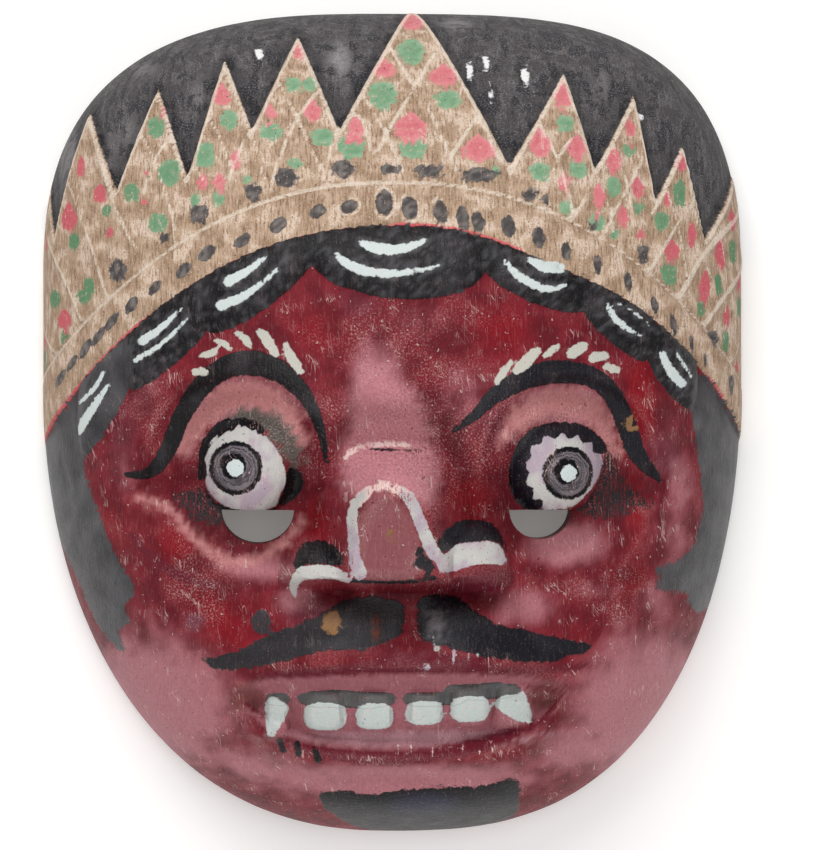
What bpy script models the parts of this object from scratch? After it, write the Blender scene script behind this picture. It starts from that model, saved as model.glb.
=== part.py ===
"""A carved wooden theatre mask, lying on its rim with the face upwards, at its real size.

It is one block of wood: a domed face under a tall crown of triangles, hollowed out behind, with a
see-through slit below each eyeball. The carving is worked out in millimetres, measured from the
middle of the rim: +X is the right as one faces the mask, +Y is towards the crown and +Z is out of
the face. Only the finished mesh is turned into metres.
"""

import bpy
import numpy as np

MM = 0.001

# The rim: a flat-sided oval, squarer round the crown than round the jaw. Its left and right halves
# are not quite alike, so the powers that say how square it is across come in that order
LEFT_X, RIGHT_X = -84.0, 83.4
TOP_Y, CHIN_Y = 97.6, -98.4
CROWN_SHOULDER_Y, JAW_SHOULDER_Y = 32.5, 7.2
CROWN_POWERS_ACROSS, CROWN_POWER_UP = (2.9, 3.45), 2.66
JAW_POWERS_ACROSS, JAW_POWER_DOWN = (2.35, 2.72), 2.06

# The dome of the face, and the hollow behind it
HUB_Y = 15.0
DOME_HEIGHT = 62.0
SIDE_POWER = 2.4
CROWN_FALL_POWER = 2.0
CHIN_FALL_POWER = 5.0
RIM_WIDTH = 9.0
HOLLOW_HEIGHT = 50.5
HOLLOW_POWER = 2.2
NOSE_POCKET_Y = -24.0
NOSE_POCKET_HALF_SIZE = (16.0, 20.0)
NOSE_POCKET_DEPTH = 8.0

# The crown: a band between two curves, with triangles standing on it
CROWN_SPREAD = 83.0
# Each edge's middle X, its Y there, how far it falls at the sides and how suddenly
BAND_LOW = (0.0, 42.8, 48.3, 2.3)
BAND_TOP = (-1.5, 52.7, 44.5, 2.2)
BAND_RISE = 1.6
TRIANGLE_RISE = 1.5
CARVED_EDGE = 0.9
GROOVE_HALF_WIDTH = 2.4
# Feet and tips of the triangles in turn: how far round the crown, and how far up the mask
TRIANGLE_FEET_AND_TIPS = (
    (-130.0, 45.0), (-119.0, 60.0), (-104.0, 42.0), (-85.5, 71.5), (-73.0, 51.6), (-60.0, 75.7),
    (-51.0, 54.1), (-41.6, 82.3), (-34.5, 64.7), (-23.5, 88.4), (-14.2, 64.5), (3.9, 98.2),
    (24.3, 56.4), (39.0, 79.1), (45.6, 56.0), (58.4, 74.3), (63.4, 49.4), (74.2, 62.8),
    (82.4, 41.3), (107.0, 58.0), (130.0, 36.0),
)

# The scalloped fringe of hair: where each lock ends round the crown, how far below the band's low
# edge it has come there, and how much further each lock hangs between its ends
LOCK_ENDS = (
    (-88.4, 15.0), (-69.4, 11.0), (-46.0, 11.4), (-20.4, 5.5), (18.4, 8.0), (41.8, 8.8), (60.9, 9.8),
    (78.4, 9.7),
)
LOCK_BELLIES = (3.2, 3.8, 5.4, 9.4, 4.2, 3.4, 3.4)
LOCK_RISE = 2.6

# Eyes, mirrored about the middle
EYE_X, EYE_Y = 34.2, -10.3
EYE_RADIUS = 11.0
BALL_RADIUS = 12.5
BALL_TOP = 2.0
SOCKET_CENTRE = (37.5, -13.2)
SOCKET_HALF_SIZE = (20.5, 23.8)
SOCKET_DEPTH = 7.5
SOCKET_POWER = 2.4
LID_RISE = 2.6
OUTER_CORNER = ((57.0, -15.0), (9.0, 6.0), -3.0)
BROW_RISE = 1.6

# The slit below each eyeball: its middle, half width and depth below its straight top edge
SLITS = {"left": (-32.4, 8.2, 7.6), "right": (31.0, 7.2, 6.6)}
SLIT_TOP_Y = -20.2
SLIT_CUTTER_Z = (20.0, 90.0)

# The nose, slightly to the left of the middle
NOSE_X = -2.0
NOSE_FOOT_Y = -34.4
NOSE_UNDERCUT = 4.2
NOSE_RIDGE = (
    (-42.0, 30.0), (-34.0, 30.0), (-27.0, 29.0), (-20.0, 26.5), (-14.0, 21.5), (-9.0, 12.5),
    (-5.0, 4.0), (-3.0, 1.4), (5.0, 0.0),
)
NOSE_HALF_WIDTH = ((-42.0, 20.5), (-34.0, 20.0), (-20.0, 18.5), (-9.0, 16.0), (5.0, 14.0))
NOSE_ROUNDNESS = 1.9
# The flat front of the nose, cut across it: its rise at the top and at the foot
NOSE_FLAT = ((-42.0, 14.5), (NOSE_FOOT_Y, 16.5), (-14.5, 21.5), (5.0, 27.0))
# Each wing's middle, half width, length and rise
NOSE_WINGS = ((-17.0, 8.6, 10.0, 11.5), (15.8, 10.4, 12.5, 12.0))
# The hollows under the wings, mirrored about the nose
NOSTRIL_X, NOSTRIL_Y = 13.5, -38.0
NOSTRIL = ((7.5, 4.0), -2.6)

# The mouth: a smile between two curves that meet at its corners
MOUTH_HALF_WIDTH = 38.0
MOUTH_TOP_Y, MOUTH_TOP_FALL = -55.3, 6.0
MOUTH_LOW_Y, MOUTH_LOW_RISE = -74.6, 13.6
MOUTH_DEPTH = 3.4
UPPER_LIP_RISE, LOWER_LIP_RISE = 2.4, 3.0
# Each tooth's middle X, middle Y, half width and half height
TEETH = (
    (-28.0, -67.0, 2.8, 5.6), (-17.5, -65.6, 4.7, 5.2), (-6.3, -65.4, 4.6, 5.2),
    (4.9, -65.0, 4.4, 5.0), (15.2, -64.4, 4.9, 5.0), (25.2, -64.6, 4.9, 5.8),
)
TOOTH_RISE = 2.4

# The soft swells of the face: each one's middle, half size and rise. The second two are mirrored
MUZZLE = ((-1.0, -64.0), (52.0, 30.0), 4.5)
CHIN_CREASE = ((0.0, -80.2), (34.0, 4.0), -2.0)
CHIN = ((2.0, -88.0), (38.0, 9.0), 4.0)
PHILTRUM = ((1.8, -47.0), (3.4, 9.0), -1.2)
MOUSTACHE_SWELL = ((14.5, -46.5), (19.0, 8.5), 2.5)
CHEEK = ((51.5, -43.0), (26.0, 26.0), 3.0)

# How soon above the rim the carving reaches its full rise: the crown's, then the face's
CROWN_FADE = (2.0, 26.0)
FACE_FADE = (0.0, 12.0)

# Mesh: a fine grid, thinned to what the form needs
GRID_SIZE = 241
KEPT_FACES = 0.0395
SPARE_BELOW_RIM = 0.6

WOOD_COLOUR = (0.30, 0.035, 0.05, 1.0)
WOOD_ROUGHNESS = 0.5


def clear_scene():
    for obj in list(bpy.data.objects):
        bpy.data.objects.remove(obj)


def ease(start, end, value):
    """0 at start and 1 at end, with a smooth step between; start may be above end."""
    t = np.clip((value - start) / (end - start), 0.0, 1.0)
    return t * t * (3.0 - 2.0 * t)


def mound(x, y, centre, half_size, height):
    """A smooth elliptical rise that is level again at its half size."""
    reach = np.hypot((x - centre[0]) / half_size[0], (y - centre[1]) / half_size[1])
    return height * ease(1.0, 0.0, reach)


def along(points, value):
    """A smooth profile through points given in rising order."""
    at, heights = np.array(points).T
    slopes = np.gradient(heights, at)
    index = np.clip(np.searchsorted(at, value) - 1, 0, len(at) - 2)
    width = at[index + 1] - at[index]
    t = np.clip((value - at[index]) / width, 0.0, 1.0)
    start, end = heights[index], heights[index + 1]
    curve_in, curve_out = slopes[index] * width, slopes[index + 1] * width
    rising = t * t * (3.0 - 2.0 * t)
    bent = t * (1.0 - t) * ((1.0 - t) * curve_in - t * curve_out)
    return start + (end - start) * rising + bent


def outline_level(x, y):
    """1 on the rim's outer edge, less inside it."""
    up = np.maximum(y - CROWN_SHOULDER_Y, 0.0) / (TOP_Y - CROWN_SHOULDER_Y)
    down = np.maximum(JAW_SHOULDER_Y - y, 0.0) / (JAW_SHOULDER_Y - CHIN_Y)
    across = np.where(x < 0.0, x / LEFT_X, x / RIGHT_X)
    crown = across ** np.where(x < 0.0, *CROWN_POWERS_ACROSS) + up**CROWN_POWER_UP
    jaw = across ** np.where(x < 0.0, *JAW_POWERS_ACROSS) + down**JAW_POWER_DOWN
    return np.where(up > 0.0, crown, jaw)


def outline_radius(angle):
    """How far the rim's outer edge is from the hub in each direction, by halving."""
    low = np.zeros_like(angle)
    high = np.full_like(angle, TOP_Y - CHIN_Y)
    for _ in range(40):
        middle = (low + high) / 2.0
        inside = outline_level(middle * np.cos(angle), HUB_Y + middle * np.sin(angle)) < 1.0
        low = np.where(inside, middle, low)
        high = np.where(inside, high, middle)
    return low


def dome_power(angle):
    """How squarely the dome falls to the rim: gently at the crown, abruptly at the chin."""
    up = np.sin(angle)
    towards_crown = SIDE_POWER + (CROWN_FALL_POWER - SIDE_POWER) * up**2
    towards_chin = SIDE_POWER + (CHIN_FALL_POWER - SIDE_POWER) * up**4
    return np.where(up > 0.0, towards_crown, towards_chin)


def round_grid():
    """A square grid pressed into a disc: how far out each point is, 0 to 1, and its direction."""
    steps = np.linspace(-1.0, 1.0, GRID_SIZE)
    u, v = np.meshgrid(steps, steps, indexing="ij")
    across = u * np.sqrt(1.0 - v * v / 2.0)
    up = v * np.sqrt(1.0 - u * u / 2.0)
    reach = np.clip(np.hypot(across, up), 0.0, 1.0)
    return np.sin(reach * np.pi / 2.0), np.arctan2(up, across)


def band_edge(x, edge):
    middle, height, fall, power = edge
    return height - fall * np.abs((x - middle) / CROWN_SPREAD) ** power


def round_crown(x):
    """How far round the crown each X is, so that its carving spreads down the steep sides."""
    return CROWN_SPREAD * np.arcsin(np.clip(x / CROWN_SPREAD, -1.0, 1.0))


def distance_to_path(x, y, path):
    """How far each place is from a line of straight runs."""
    nearest = np.full_like(x, np.inf)
    for (start_x, start_y), (end_x, end_y) in zip(path, path[1:]):
        run_x, run_y = end_x - start_x, end_y - start_y
        t = ((x - start_x) * run_x + (y - start_y) * run_y) / (run_x**2 + run_y**2)
        t = np.clip(t, 0.0, 1.0)
        nearest = np.minimum(nearest, np.hypot(x - start_x - t * run_x, y - start_y - t * run_y))
    return nearest


def hair_shape(x):
    """The lower edge of the hair at each X, and how plump its lock is there, 0 to 1."""
    round_x = round_crown(x)
    ends, drops = np.array(LOCK_ENDS).T
    drop = np.interp(round_x, ends, drops)
    plump = np.zeros_like(x)
    for start, end, belly in zip(ends, ends[1:], LOCK_BELLIES):
        across = (2.0 * round_x - start - end) / (end - start)
        round_lock = np.clip(1.0 - across**2, 0.0, 1.0) ** 0.6
        drop += belly * round_lock
        plump = np.maximum(plump, round_lock)
    within = (round_x > ends[0]) & (round_x < ends[-1])
    return band_edge(x, BAND_LOW) - np.where(within, drop, 0.0), plump


def crown_relief(x, y):
    """Band, triangles and hair, as a rise square to the dome."""
    low, top = band_edge(x, BAND_LOW), band_edge(x, BAND_TOP)
    round_x = round_crown(x)
    below = np.sign(np.interp(round_x, *np.array(TRIANGLE_FEET_AND_TIPS).T) - y)
    inside = below * distance_to_path(round_x, y, TRIANGLE_FEET_AND_TIPS)
    triangles = TRIANGLE_RISE * ease(-CARVED_EDGE, CARVED_EDGE, inside)
    groove = ease(0.0, GROOVE_HALF_WIDTH, np.abs(y - top))
    crown = np.where(y > top, triangles, BAND_RISE) * groove
    crown *= ease(low - CARVED_EDGE, low + CARVED_EDGE, y)
    edge, plump = hair_shape(x)
    width = np.maximum(low - edge, 0.5)
    across = np.clip((y - edge) / width, 0.0, 1.0)
    roll = np.clip(4.0 * across * (1.0 - 0.8 * across) / 1.25, 0.0, 1.0) ** 0.6
    hair = LOCK_RISE * roll * (0.55 + 0.45 * plump)
    hair = np.where((y > edge) & (y < low), hair, 0.0)
    return np.maximum(crown, hair)


def eye_relief(x, y, side):
    """One eye: a hollow socket with a lid and the ball in it, below a low brow ridge."""
    out = side * x
    reach = np.hypot(
        (out - SOCKET_CENTRE[0]) / SOCKET_HALF_SIZE[0], (y - SOCKET_CENTRE[1]) / SOCKET_HALF_SIZE[1]
    )
    hollow = -SOCKET_DEPTH * np.clip(1.0 - reach**SOCKET_POWER, 0.0, 1.0)
    corner = mound(out, y, *OUTER_CORNER)
    from_ball = np.hypot(out - EYE_X, y - EYE_Y)
    upper = ease(EYE_Y - 6.0, EYE_Y + 6.0, y)
    lid = LID_RISE * upper * ease(EYE_RADIUS + 5.5, EYE_RADIUS, from_ball)
    ball = BALL_TOP - BALL_RADIUS + np.sqrt(np.maximum(BALL_RADIUS**2 - from_ball**2, 0.0))
    brow = BROW_RISE * ease(1.45, 1.12, reach) * ease(0.9, 1.05, reach) * upper
    relief = np.minimum(hollow + lid, 0.0) + corner + brow
    return np.where(from_ball < EYE_RADIUS, np.maximum(ball, relief), relief)


def nose_relief(x, y):
    """The snub nose, its two wings and the hollows under them, with a steep underside."""
    across = (x - NOSE_X) / along(NOSE_HALF_WIDTH, y)
    body = along(NOSE_RIDGE, y) * np.clip(1.0 - across**2, 0.0, 1.0) ** NOSE_ROUNDNESS
    nose = np.minimum(body, along(NOSE_FLAT, y))
    for centre, half_width, length, height in NOSE_WINGS:
        reach = np.hypot((x - NOSE_X - centre) / half_width, (y - NOSE_FOOT_Y) / length)
        nose = np.maximum(nose, height * np.sqrt(np.clip(1.0 - reach**2, 0.0, 1.0)))
    nose *= ease(NOSE_FOOT_Y - NOSE_UNDERCUT, NOSE_FOOT_Y, y)
    for side in (-1.0, 1.0):
        nose += mound(x, y, (NOSE_X + side * NOSTRIL_X, NOSTRIL_Y), *NOSTRIL)
    return nose


def mouth_edges(x):
    """The mouth's upper and lower edge at each X; they meet at its corners."""
    across = (np.abs(x) / MOUTH_HALF_WIDTH) ** 4
    return MOUTH_TOP_Y - MOUTH_TOP_FALL * across, MOUTH_LOW_Y + MOUTH_LOW_RISE * across


def mouth_relief(x, y):
    """A sunk mouth with teeth in it, between two lips."""
    top, low = mouth_edges(x)
    sunk = -MOUTH_DEPTH * ease(0.0, 6.5, top - y) * ease(0.0, 3.0, y - low)
    teeth = np.zeros_like(x)
    for centre_x, centre_y, half_width, half_height in TEETH:
        squared = ((x - centre_x) / half_width) ** 4 + ((y - centre_y) / half_height) ** 4
        teeth = np.maximum(teeth, TOOTH_RISE * ease(1.0, 0.62, squared**0.25))
    ends = ease(MOUTH_HALF_WIDTH + 3.0, MOUTH_HALF_WIDTH - 10.0, np.abs(x))
    upper_lip = UPPER_LIP_RISE * ends * ease(5.5, 1.0, np.abs(y - top - 2.2))
    lower_lip = LOWER_LIP_RISE * ends * ease(6.0, 0.5, np.abs(y - low + 3.0))
    lips = np.where((y < top) & (y > low), 0.35 * (upper_lip + lower_lip), upper_lip + lower_lip)
    return sunk + teeth + lips


def face_relief(x, y):
    """Everything below the crown, as a rise along Z."""
    swells = mound(x, y, *MUZZLE) + mound(x, y, *CHIN_CREASE) + mound(x, y, *CHIN)
    swells += mound(x, y, *PHILTRUM)
    for side in (-1.0, 1.0):
        swells += mound(side * x, y, *MOUSTACHE_SWELL) + mound(side * x, y, *CHEEK)
        swells += eye_relief(x, y, side)
    return swells + nose_relief(x, y) + mouth_relief(x, y)


def front_surface(rho, angle):
    """The carved face and crown."""
    radius = outline_radius(angle)
    x = rho * radius * np.cos(angle)
    y = HUB_Y + rho * radius * np.sin(angle)
    z = DOME_HEIGHT * np.sqrt(np.clip(1.0 - rho ** dome_power(angle), 0.0, 1.0))
    dome = np.stack([x, y, z], axis=-1)
    square = np.cross(np.gradient(dome, axis=0), np.gradient(dome, axis=1))
    square /= np.linalg.norm(square, axis=-1, keepdims=True)
    carved = dome + square * (crown_relief(x, y) * ease(*CROWN_FADE, z))[..., None]
    carved[..., 2] += face_relief(x, y) * ease(*FACE_FADE, z)
    return carved


def hollow_surface(rho, angle):
    """The hollow behind the face, with a pocket behind the nose."""
    radius = outline_radius(angle) - RIM_WIDTH
    x = rho * radius * np.cos(angle)
    y = HUB_Y + rho * radius * np.sin(angle)
    z = HOLLOW_HEIGHT * np.sqrt(np.clip(1.0 - rho**HOLLOW_POWER, 0.0, 1.0))
    z += mound(x, y, (NOSE_X, NOSE_POCKET_Y), NOSE_POCKET_HALF_SIZE, NOSE_POCKET_DEPTH)
    return np.stack([x, y, z], axis=-1)


def closed_shell(front, back):
    """Joins two grids with the same edge into one closed mesh: its points and its faces."""
    size = front.shape[0]
    index = np.arange(size * size).reshape(size, size)
    corners = index[:-1, :-1], index[1:, :-1], index[1:, 1:], index[:-1, 1:]
    front_faces = np.stack(corners, axis=-1).reshape(-1, 4)
    back_faces = front_faces[:, ::-1] + size * size
    edge = np.concatenate([index[:-1, 0], index[-1, :-1], index[:0:-1, -1], index[0, :0:-1]])
    following = np.roll(edge, -1)
    rim = np.stack([following, edge, edge + size * size, following + size * size], axis=-1)
    points = np.concatenate([front.reshape(-1, 3), back.reshape(-1, 3)])
    return points, np.concatenate([front_faces, back_faces, rim])


def new_object(name, points, faces):
    mesh = bpy.data.meshes.new(name)
    mesh.from_pydata((points * MM).tolist(), [], faces)
    mesh.update()
    obj = bpy.data.objects.new(name, mesh)
    bpy.context.scene.collection.objects.link(obj)
    return obj


def cutter(name, outline, low, high):
    """An upright prism with this outline, listed anticlockwise, used only to cut."""
    count = len(outline)
    points = [(x, y, z) for z in (low, high) for x, y in outline]
    faces = [tuple(range(count - 1, -1, -1)), tuple(range(count, 2 * count))]
    for i in range(count):
        j = (i + 1) % count
        faces.append((i, j, count + j, count + i))
    obj = new_object(name, np.array(points), faces)
    obj.hide_render = True
    obj.display_type = "WIRE"
    return obj


def slit_outline(middle, half_width, depth):
    """Straight on top and round below."""
    turns = np.linspace(np.pi, 2.0 * np.pi, 15)
    return [(middle + half_width * np.cos(t), SLIT_TOP_Y + depth * np.sin(t)) for t in turns]


def cut_with(obj, tool):
    boolean = obj.modifiers.new(tool.name, "BOOLEAN")
    boolean.operation = "DIFFERENCE"
    boolean.solver = "EXACT"
    boolean.object = tool


def wood_material():
    material = bpy.data.materials.new("painted_wood")
    material.use_nodes = True
    shader = material.node_tree.nodes["Principled BSDF"]
    shader.inputs["Base Color"].default_value = WOOD_COLOUR
    shader.inputs["Roughness"].default_value = WOOD_ROUGHNESS
    shader.inputs["Metallic"].default_value = 0.0
    return material


def build_mask():
    rho, angle = round_grid()
    points, faces = closed_shell(front_surface(rho, angle), hollow_surface(rho, angle))
    points[:, 2] -= SPARE_BELOW_RIM
    mask = new_object("mask", points, faces.tolist())
    mask.data.shade_smooth()
    mask.data.materials.append(wood_material())

    thin = mask.modifiers.new("thin", "DECIMATE")
    thin.ratio = KEPT_FACES
    for side, (middle, half_width, depth) in SLITS.items():
        outline = slit_outline(middle, half_width, depth)
        cut_with(mask, cutter(f"{side}_slit_cutter", outline, *SLIT_CUTTER_Z))
    reach = 2.0 * TOP_Y
    square = [(-reach, -reach), (reach, -reach), (reach, reach), (-reach, reach)]
    cut_with(mask, cutter("rim_plane_cutter", square, -20.0, 0.0))


clear_scene()
build_mask()
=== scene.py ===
"""Looks of a carved and painted wooden theatre mask, lying on its rim with the face upwards.

The mask is one closed carving that takes the place of the plain solid. Its form is worked out in
millimetres from the middle of the rim: +X is the right as one faces the mask, +Y is towards the
crown and +Z is out of the face. The painter's marks are kept on the carving as distances from
their edges, so that the paint can be given ragged, worn and dry-brushed edges of its own.
"""

import math

import bpy
import numpy as np
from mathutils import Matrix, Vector, noise
from mathutils.kdtree import KDTree


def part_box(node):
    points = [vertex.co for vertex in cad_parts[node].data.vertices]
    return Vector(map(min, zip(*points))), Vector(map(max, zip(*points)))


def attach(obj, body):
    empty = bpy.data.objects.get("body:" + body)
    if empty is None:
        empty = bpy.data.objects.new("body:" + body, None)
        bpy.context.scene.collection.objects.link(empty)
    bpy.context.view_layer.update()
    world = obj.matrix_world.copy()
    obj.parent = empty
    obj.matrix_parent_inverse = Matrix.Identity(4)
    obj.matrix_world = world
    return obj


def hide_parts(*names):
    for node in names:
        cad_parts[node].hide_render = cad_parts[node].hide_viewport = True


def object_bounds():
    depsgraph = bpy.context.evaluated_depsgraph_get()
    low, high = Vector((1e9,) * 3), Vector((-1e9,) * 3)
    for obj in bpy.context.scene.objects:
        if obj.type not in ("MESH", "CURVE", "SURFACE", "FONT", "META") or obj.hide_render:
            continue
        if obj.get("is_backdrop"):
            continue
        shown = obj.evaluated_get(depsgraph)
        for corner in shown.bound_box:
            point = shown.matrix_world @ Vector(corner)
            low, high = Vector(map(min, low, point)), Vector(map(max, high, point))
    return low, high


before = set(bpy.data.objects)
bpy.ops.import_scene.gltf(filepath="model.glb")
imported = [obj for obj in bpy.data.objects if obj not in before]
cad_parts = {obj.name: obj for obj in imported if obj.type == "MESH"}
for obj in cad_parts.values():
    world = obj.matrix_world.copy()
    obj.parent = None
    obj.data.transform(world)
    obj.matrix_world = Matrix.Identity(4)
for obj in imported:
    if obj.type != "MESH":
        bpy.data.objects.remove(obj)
cad_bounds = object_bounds()

MM = 0.001
MASK_LOW, MASK_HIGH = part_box("mask")

# The rim: a flat-sided oval, squarer round the crown than round the jaw. Its left and right halves
# are not quite alike, so the powers that say how square it is across come in that order
LEFT_X, RIGHT_X = MASK_LOW.x / MM, MASK_HIGH.x / MM
TOP_Y, CHIN_Y = MASK_HIGH.y / MM, MASK_LOW.y / MM
CROWN_SHOULDER_Y, JAW_SHOULDER_Y = 32.5, 7.2
CROWN_POWERS_ACROSS, CROWN_POWER_UP = (2.9, 3.45), 2.66
JAW_POWERS_ACROSS, JAW_POWER_DOWN = (2.35, 2.72), 2.06

# The dome of the face, and the hollow behind it
HUB_Y = 15.0
DOME_HEIGHT = 62.0
SIDE_POWER = 2.4
CROWN_FALL_POWER = 2.0
CHIN_FALL_POWER = 5.0
RIM_WIDTH = 9.0
HOLLOW_HEIGHT = 50.5
HOLLOW_POWER = 2.2
NOSE_POCKET_Y = -24.0
NOSE_POCKET_HALF_SIZE = (16.0, 20.0)
NOSE_POCKET_DEPTH = 8.0

# The crown: a band between two curves, with triangles standing on it
CROWN_SPREAD = 83.0
# Each edge's middle X, its Y there, how far it falls at the sides and how suddenly
BAND_LOW = (0.0, 42.8, 48.3, 2.3)
BAND_TOP = (-1.5, 52.7, 44.5, 2.2)
# Where the band's lower edge sags: its middle, half width and depth
BAND_SAG = (33.0, 17.0, 2.7)
BAND_RISE = 1.6
TRIANGLE_RISE = 1.5
CARVED_EDGE = 0.7
GROOVE_HALF_WIDTH = 1.6
RISE_IN_GROOVE = 0.35
# Feet and tips of the triangles in turn: how far round the crown, and how far up the mask
TRIANGLE_FEET_AND_TIPS = (
    (-130.0, 45.0), (-119.0, 60.0), (-104.0, 42.0), (-85.5, 71.5), (-73.0, 51.6), (-60.0, 75.7),
    (-51.0, 54.1), (-41.6, 82.3), (-34.5, 64.7), (-23.5, 88.4), (-14.2, 64.5), (3.9, 98.2),
    (24.3, 56.4), (39.0, 79.1), (45.6, 56.0), (58.4, 74.3), (63.4, 49.4), (74.2, 62.8),
    (82.4, 41.3), (107.0, 58.0), (130.0, 36.0),
)

def even_strokes(half_width, *paths):
    """Brush strokes that keep one half width from end to end."""
    return tuple(tuple((x, y, half_width) for x, y in path) for path in paths)


# Carved and painted lines that cut the triangles into lozenges, from the widest to the thinnest
LATTICE = (
    *even_strokes(
        0.8,
        ((112, 50.4), (82.4, 40.1), (71.6, 28.7)),
    ),
    *even_strokes(
        0.75,
        ((122, 39.8), (93.4, 29.8), (80.7, 21.2)),
    ),
    *even_strokes(
        0.6,
        ((-88.2, 71.9), (-83.3, 66.6), (-78.6, 58.5), (-75.1, 51.2), (-69.4, 43.1)),
    ),
    *even_strokes(
        0.5,
        ((-104.7, 64), (-92.3, 53.1), (-84.2, 42.6), (-81, 37.6), (-76.4, 29.1)),
        ((-117.1, 45.2), (-102.2, 37.5), (-91.7, 29), (-86.5, 22.6)),
    ),
    *even_strokes(
        0.4,
        ((-41.1, 81.2), (-38, 72.4), (-35, 64.8)), ((81.1, 36.1), (86, 32.4), (87.3, 28)),
    ),
    *even_strokes(
        0.38,
        ((-122, 22.4), (-103.4, 15.8)), ((-59.2, 76.1), (-64.5, 64.9), (-69.7, 55.9)),
        ((-58.4, 75.8), (-54.6, 64), (-52.1, 55.2)),
        ((-64.5, 64.4), (-59.9, 57.6), (-56.3, 49.5), (-53.6, 42.6)),
        ((-54.9, 64), (-59.3, 59.8), (-62.6, 53.1)),
        ((-76, 52.9), (-71.6, 45.3), (-67.8, 40.9)),
        ((-41.7, 81.2), (-45.7, 68.7), (-49.2, 56.2)),
        ((-45.7, 68.1), (-42.6, 63.6), (-40.1, 57.1)),
        ((-35, 64.6), (-33.3, 60.2), (-32.2, 55.9)),
        ((-35, 64.6), (-37.6, 59.4), (-39.9, 53.7)),
        ((-48, 55.1), (-46.1, 52.9), (-44.5, 49.6)),
        ((-56.4, 50.2), (-54.9, 44.9), (-54, 40.5)),
        ((-23.6, 87.6), (-27.8, 77.3), (-31.1, 70.5), (-33.9, 64)),
        ((-23, 87.6), (-19.1, 77.9), (-14.2, 65.5)),
        ((-27.8, 75.1), (-24, 67.7), (-20.9, 61.1), (-18.2, 54.7)),
        ((-20.2, 72.1), (-23.4, 67.7), (-26.7, 61.2), (-28.9, 54.8)),
        ((-14.2, 64.9), (-16, 61.1), (-17.1, 55.8)),
        ((1, 96.3), (-4.1, 84.4), (-9.1, 74.4), (-14.2, 64.7)),
        ((-2.9, 86.2), (1, 78.4), (3.9, 73.2), (6.8, 68.4), (10.9, 58.1)),
        ((9.2, 84.9), (5.5, 78.6), (2, 72.5), (-2.5, 65.5), (-5, 60.4)),
        ((-9.1, 73.8), (-4.6, 65.5), (-1.1, 57.9)),
        ((-12.9, 66.6), (-9.7, 68.8), (-7.7, 63.3), (-6.8, 57.9)),
        ((6.8, 96), (11.3, 83.6), (16.8, 70.7), (23.6, 56.4)),
        ((16.7, 67.2), (12.6, 60.9), (10.9, 58.1)), ((16.6, 66.6), (18.6, 66.1), (21.4, 58.1)),
        ((38.5, 78.2), (32.9, 69.1), (25.9, 57)), ((39.1, 78.2), (42.2, 69.2), (45.4, 56.7)),
        ((32.1, 65.6), (35.4, 59.4), (38.1, 51), (39.2, 46)),
        ((40.6, 64), (36.6, 59.4), (34, 54.2), (31.3, 50.1)),
        ((57.1, 72.7), (50.4, 61.4), (45.4, 56.1), (42.5, 48.9), (39.2, 45)),
        ((57.9, 72.2), (59.9, 61.1), (63.3, 49.4)),
        ((51.1, 61.4), (54.2, 53), (55.4, 46.9), (57.5, 40.9)),
        ((58.5, 57.7), (54.9, 52.5), (51.1, 47.9), (47.6, 41.8)),
        ((46.1, 54), (48.9, 47.9), (49.7, 43.6)), ((73.7, 62.9), (66.8, 52.9), (63.2, 48.3)),
        ((74.6, 62.4), (76.2, 51.6), (80, 40.5)),
        ((66.8, 52.3), (70.1, 45.8), (72.7, 38.1), (73.6, 33.1)),
        ((76, 48.8), (71, 45.2), (65.5, 39), (61.3, 34.5)),
        ((90.5, 43.2), (93.5, 35.4), (94.2, 28.2)), ((98.5, 29.2), (102.1, 22.1)),
        ((87.1, 21.1), (81.2, 16.7)), ((105.5, 17.9), (95, 10.8)),
    ),
)
SCOOP_DEPTH = 0.45
# How far from a lattice line, the triangle's edge and the band a scoop starts and is at full depth
SCOOP_FROM_LINE, SCOOP_FROM_EDGE, SCOOP_FROM_BAND = (0.1, 1.5), (0.6, 2.0), (0.5, 2.0)

# The scalloped fringe of hair: where each lock ends round the crown, how far below the band's low
# edge it has come there, and how much further each lock hangs between its ends
LOCK_ENDS = (
    (-88.4, 15.0), (-69.4, 11.0), (-46.0, 11.4), (-20.4, 5.5), (18.4, 8.0), (41.8, 8.8),
    (60.9, 9.8), (78.4, 9.7),
)
LOCK_BELLIES = (3.2, 3.8, 5.4, 9.4, 4.2, 3.4, 3.4)
LOCK_RISE = 2.6
LOCK_ROUNDNESS = 0.6
RISE_BETWEEN_LOCKS = 0.55
# How much of a full roll the hair makes between its lower edge and the band
HAIR_ROLL = 0.8

# Eyes, mirrored about the middle
EYE_X, EYE_Y = 34.2, -10.3
EYE_RADIUS = 11.0
BALL_RADIUS = 12.5
BALL_TOP = 2.0
SOCKET_CENTRE = (37.5, -13.2)
SOCKET_HALF_SIZE = (20.5, 23.8)
SOCKET_DEPTH = 7.5
SOCKET_POWER = 2.4
LID_RISE, LID_WIDTH, LID_START = 2.6, 5.5, 6.0
OUTER_CORNER = ((57.0, -15.0), (9.0, 6.0), -3.0)
BROW_RISE = 1.6
# Where the brow ridge starts, is at its full rise, begins to fall and ends, in socket sizes
BROW_RIDGE = (0.9, 1.05, 1.12, 1.45)

# The slit below each eyeball: its middle, half width and depth below its straight top edge
SLITS = ((-32.4, 8.2, 7.6), (31.0, 7.2, 6.6))
SLIT_TOP_Y = -20.2
SLIT_CUTTER_Z = (20.0, 90.0)
SLIT_CORNERS = 25

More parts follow.
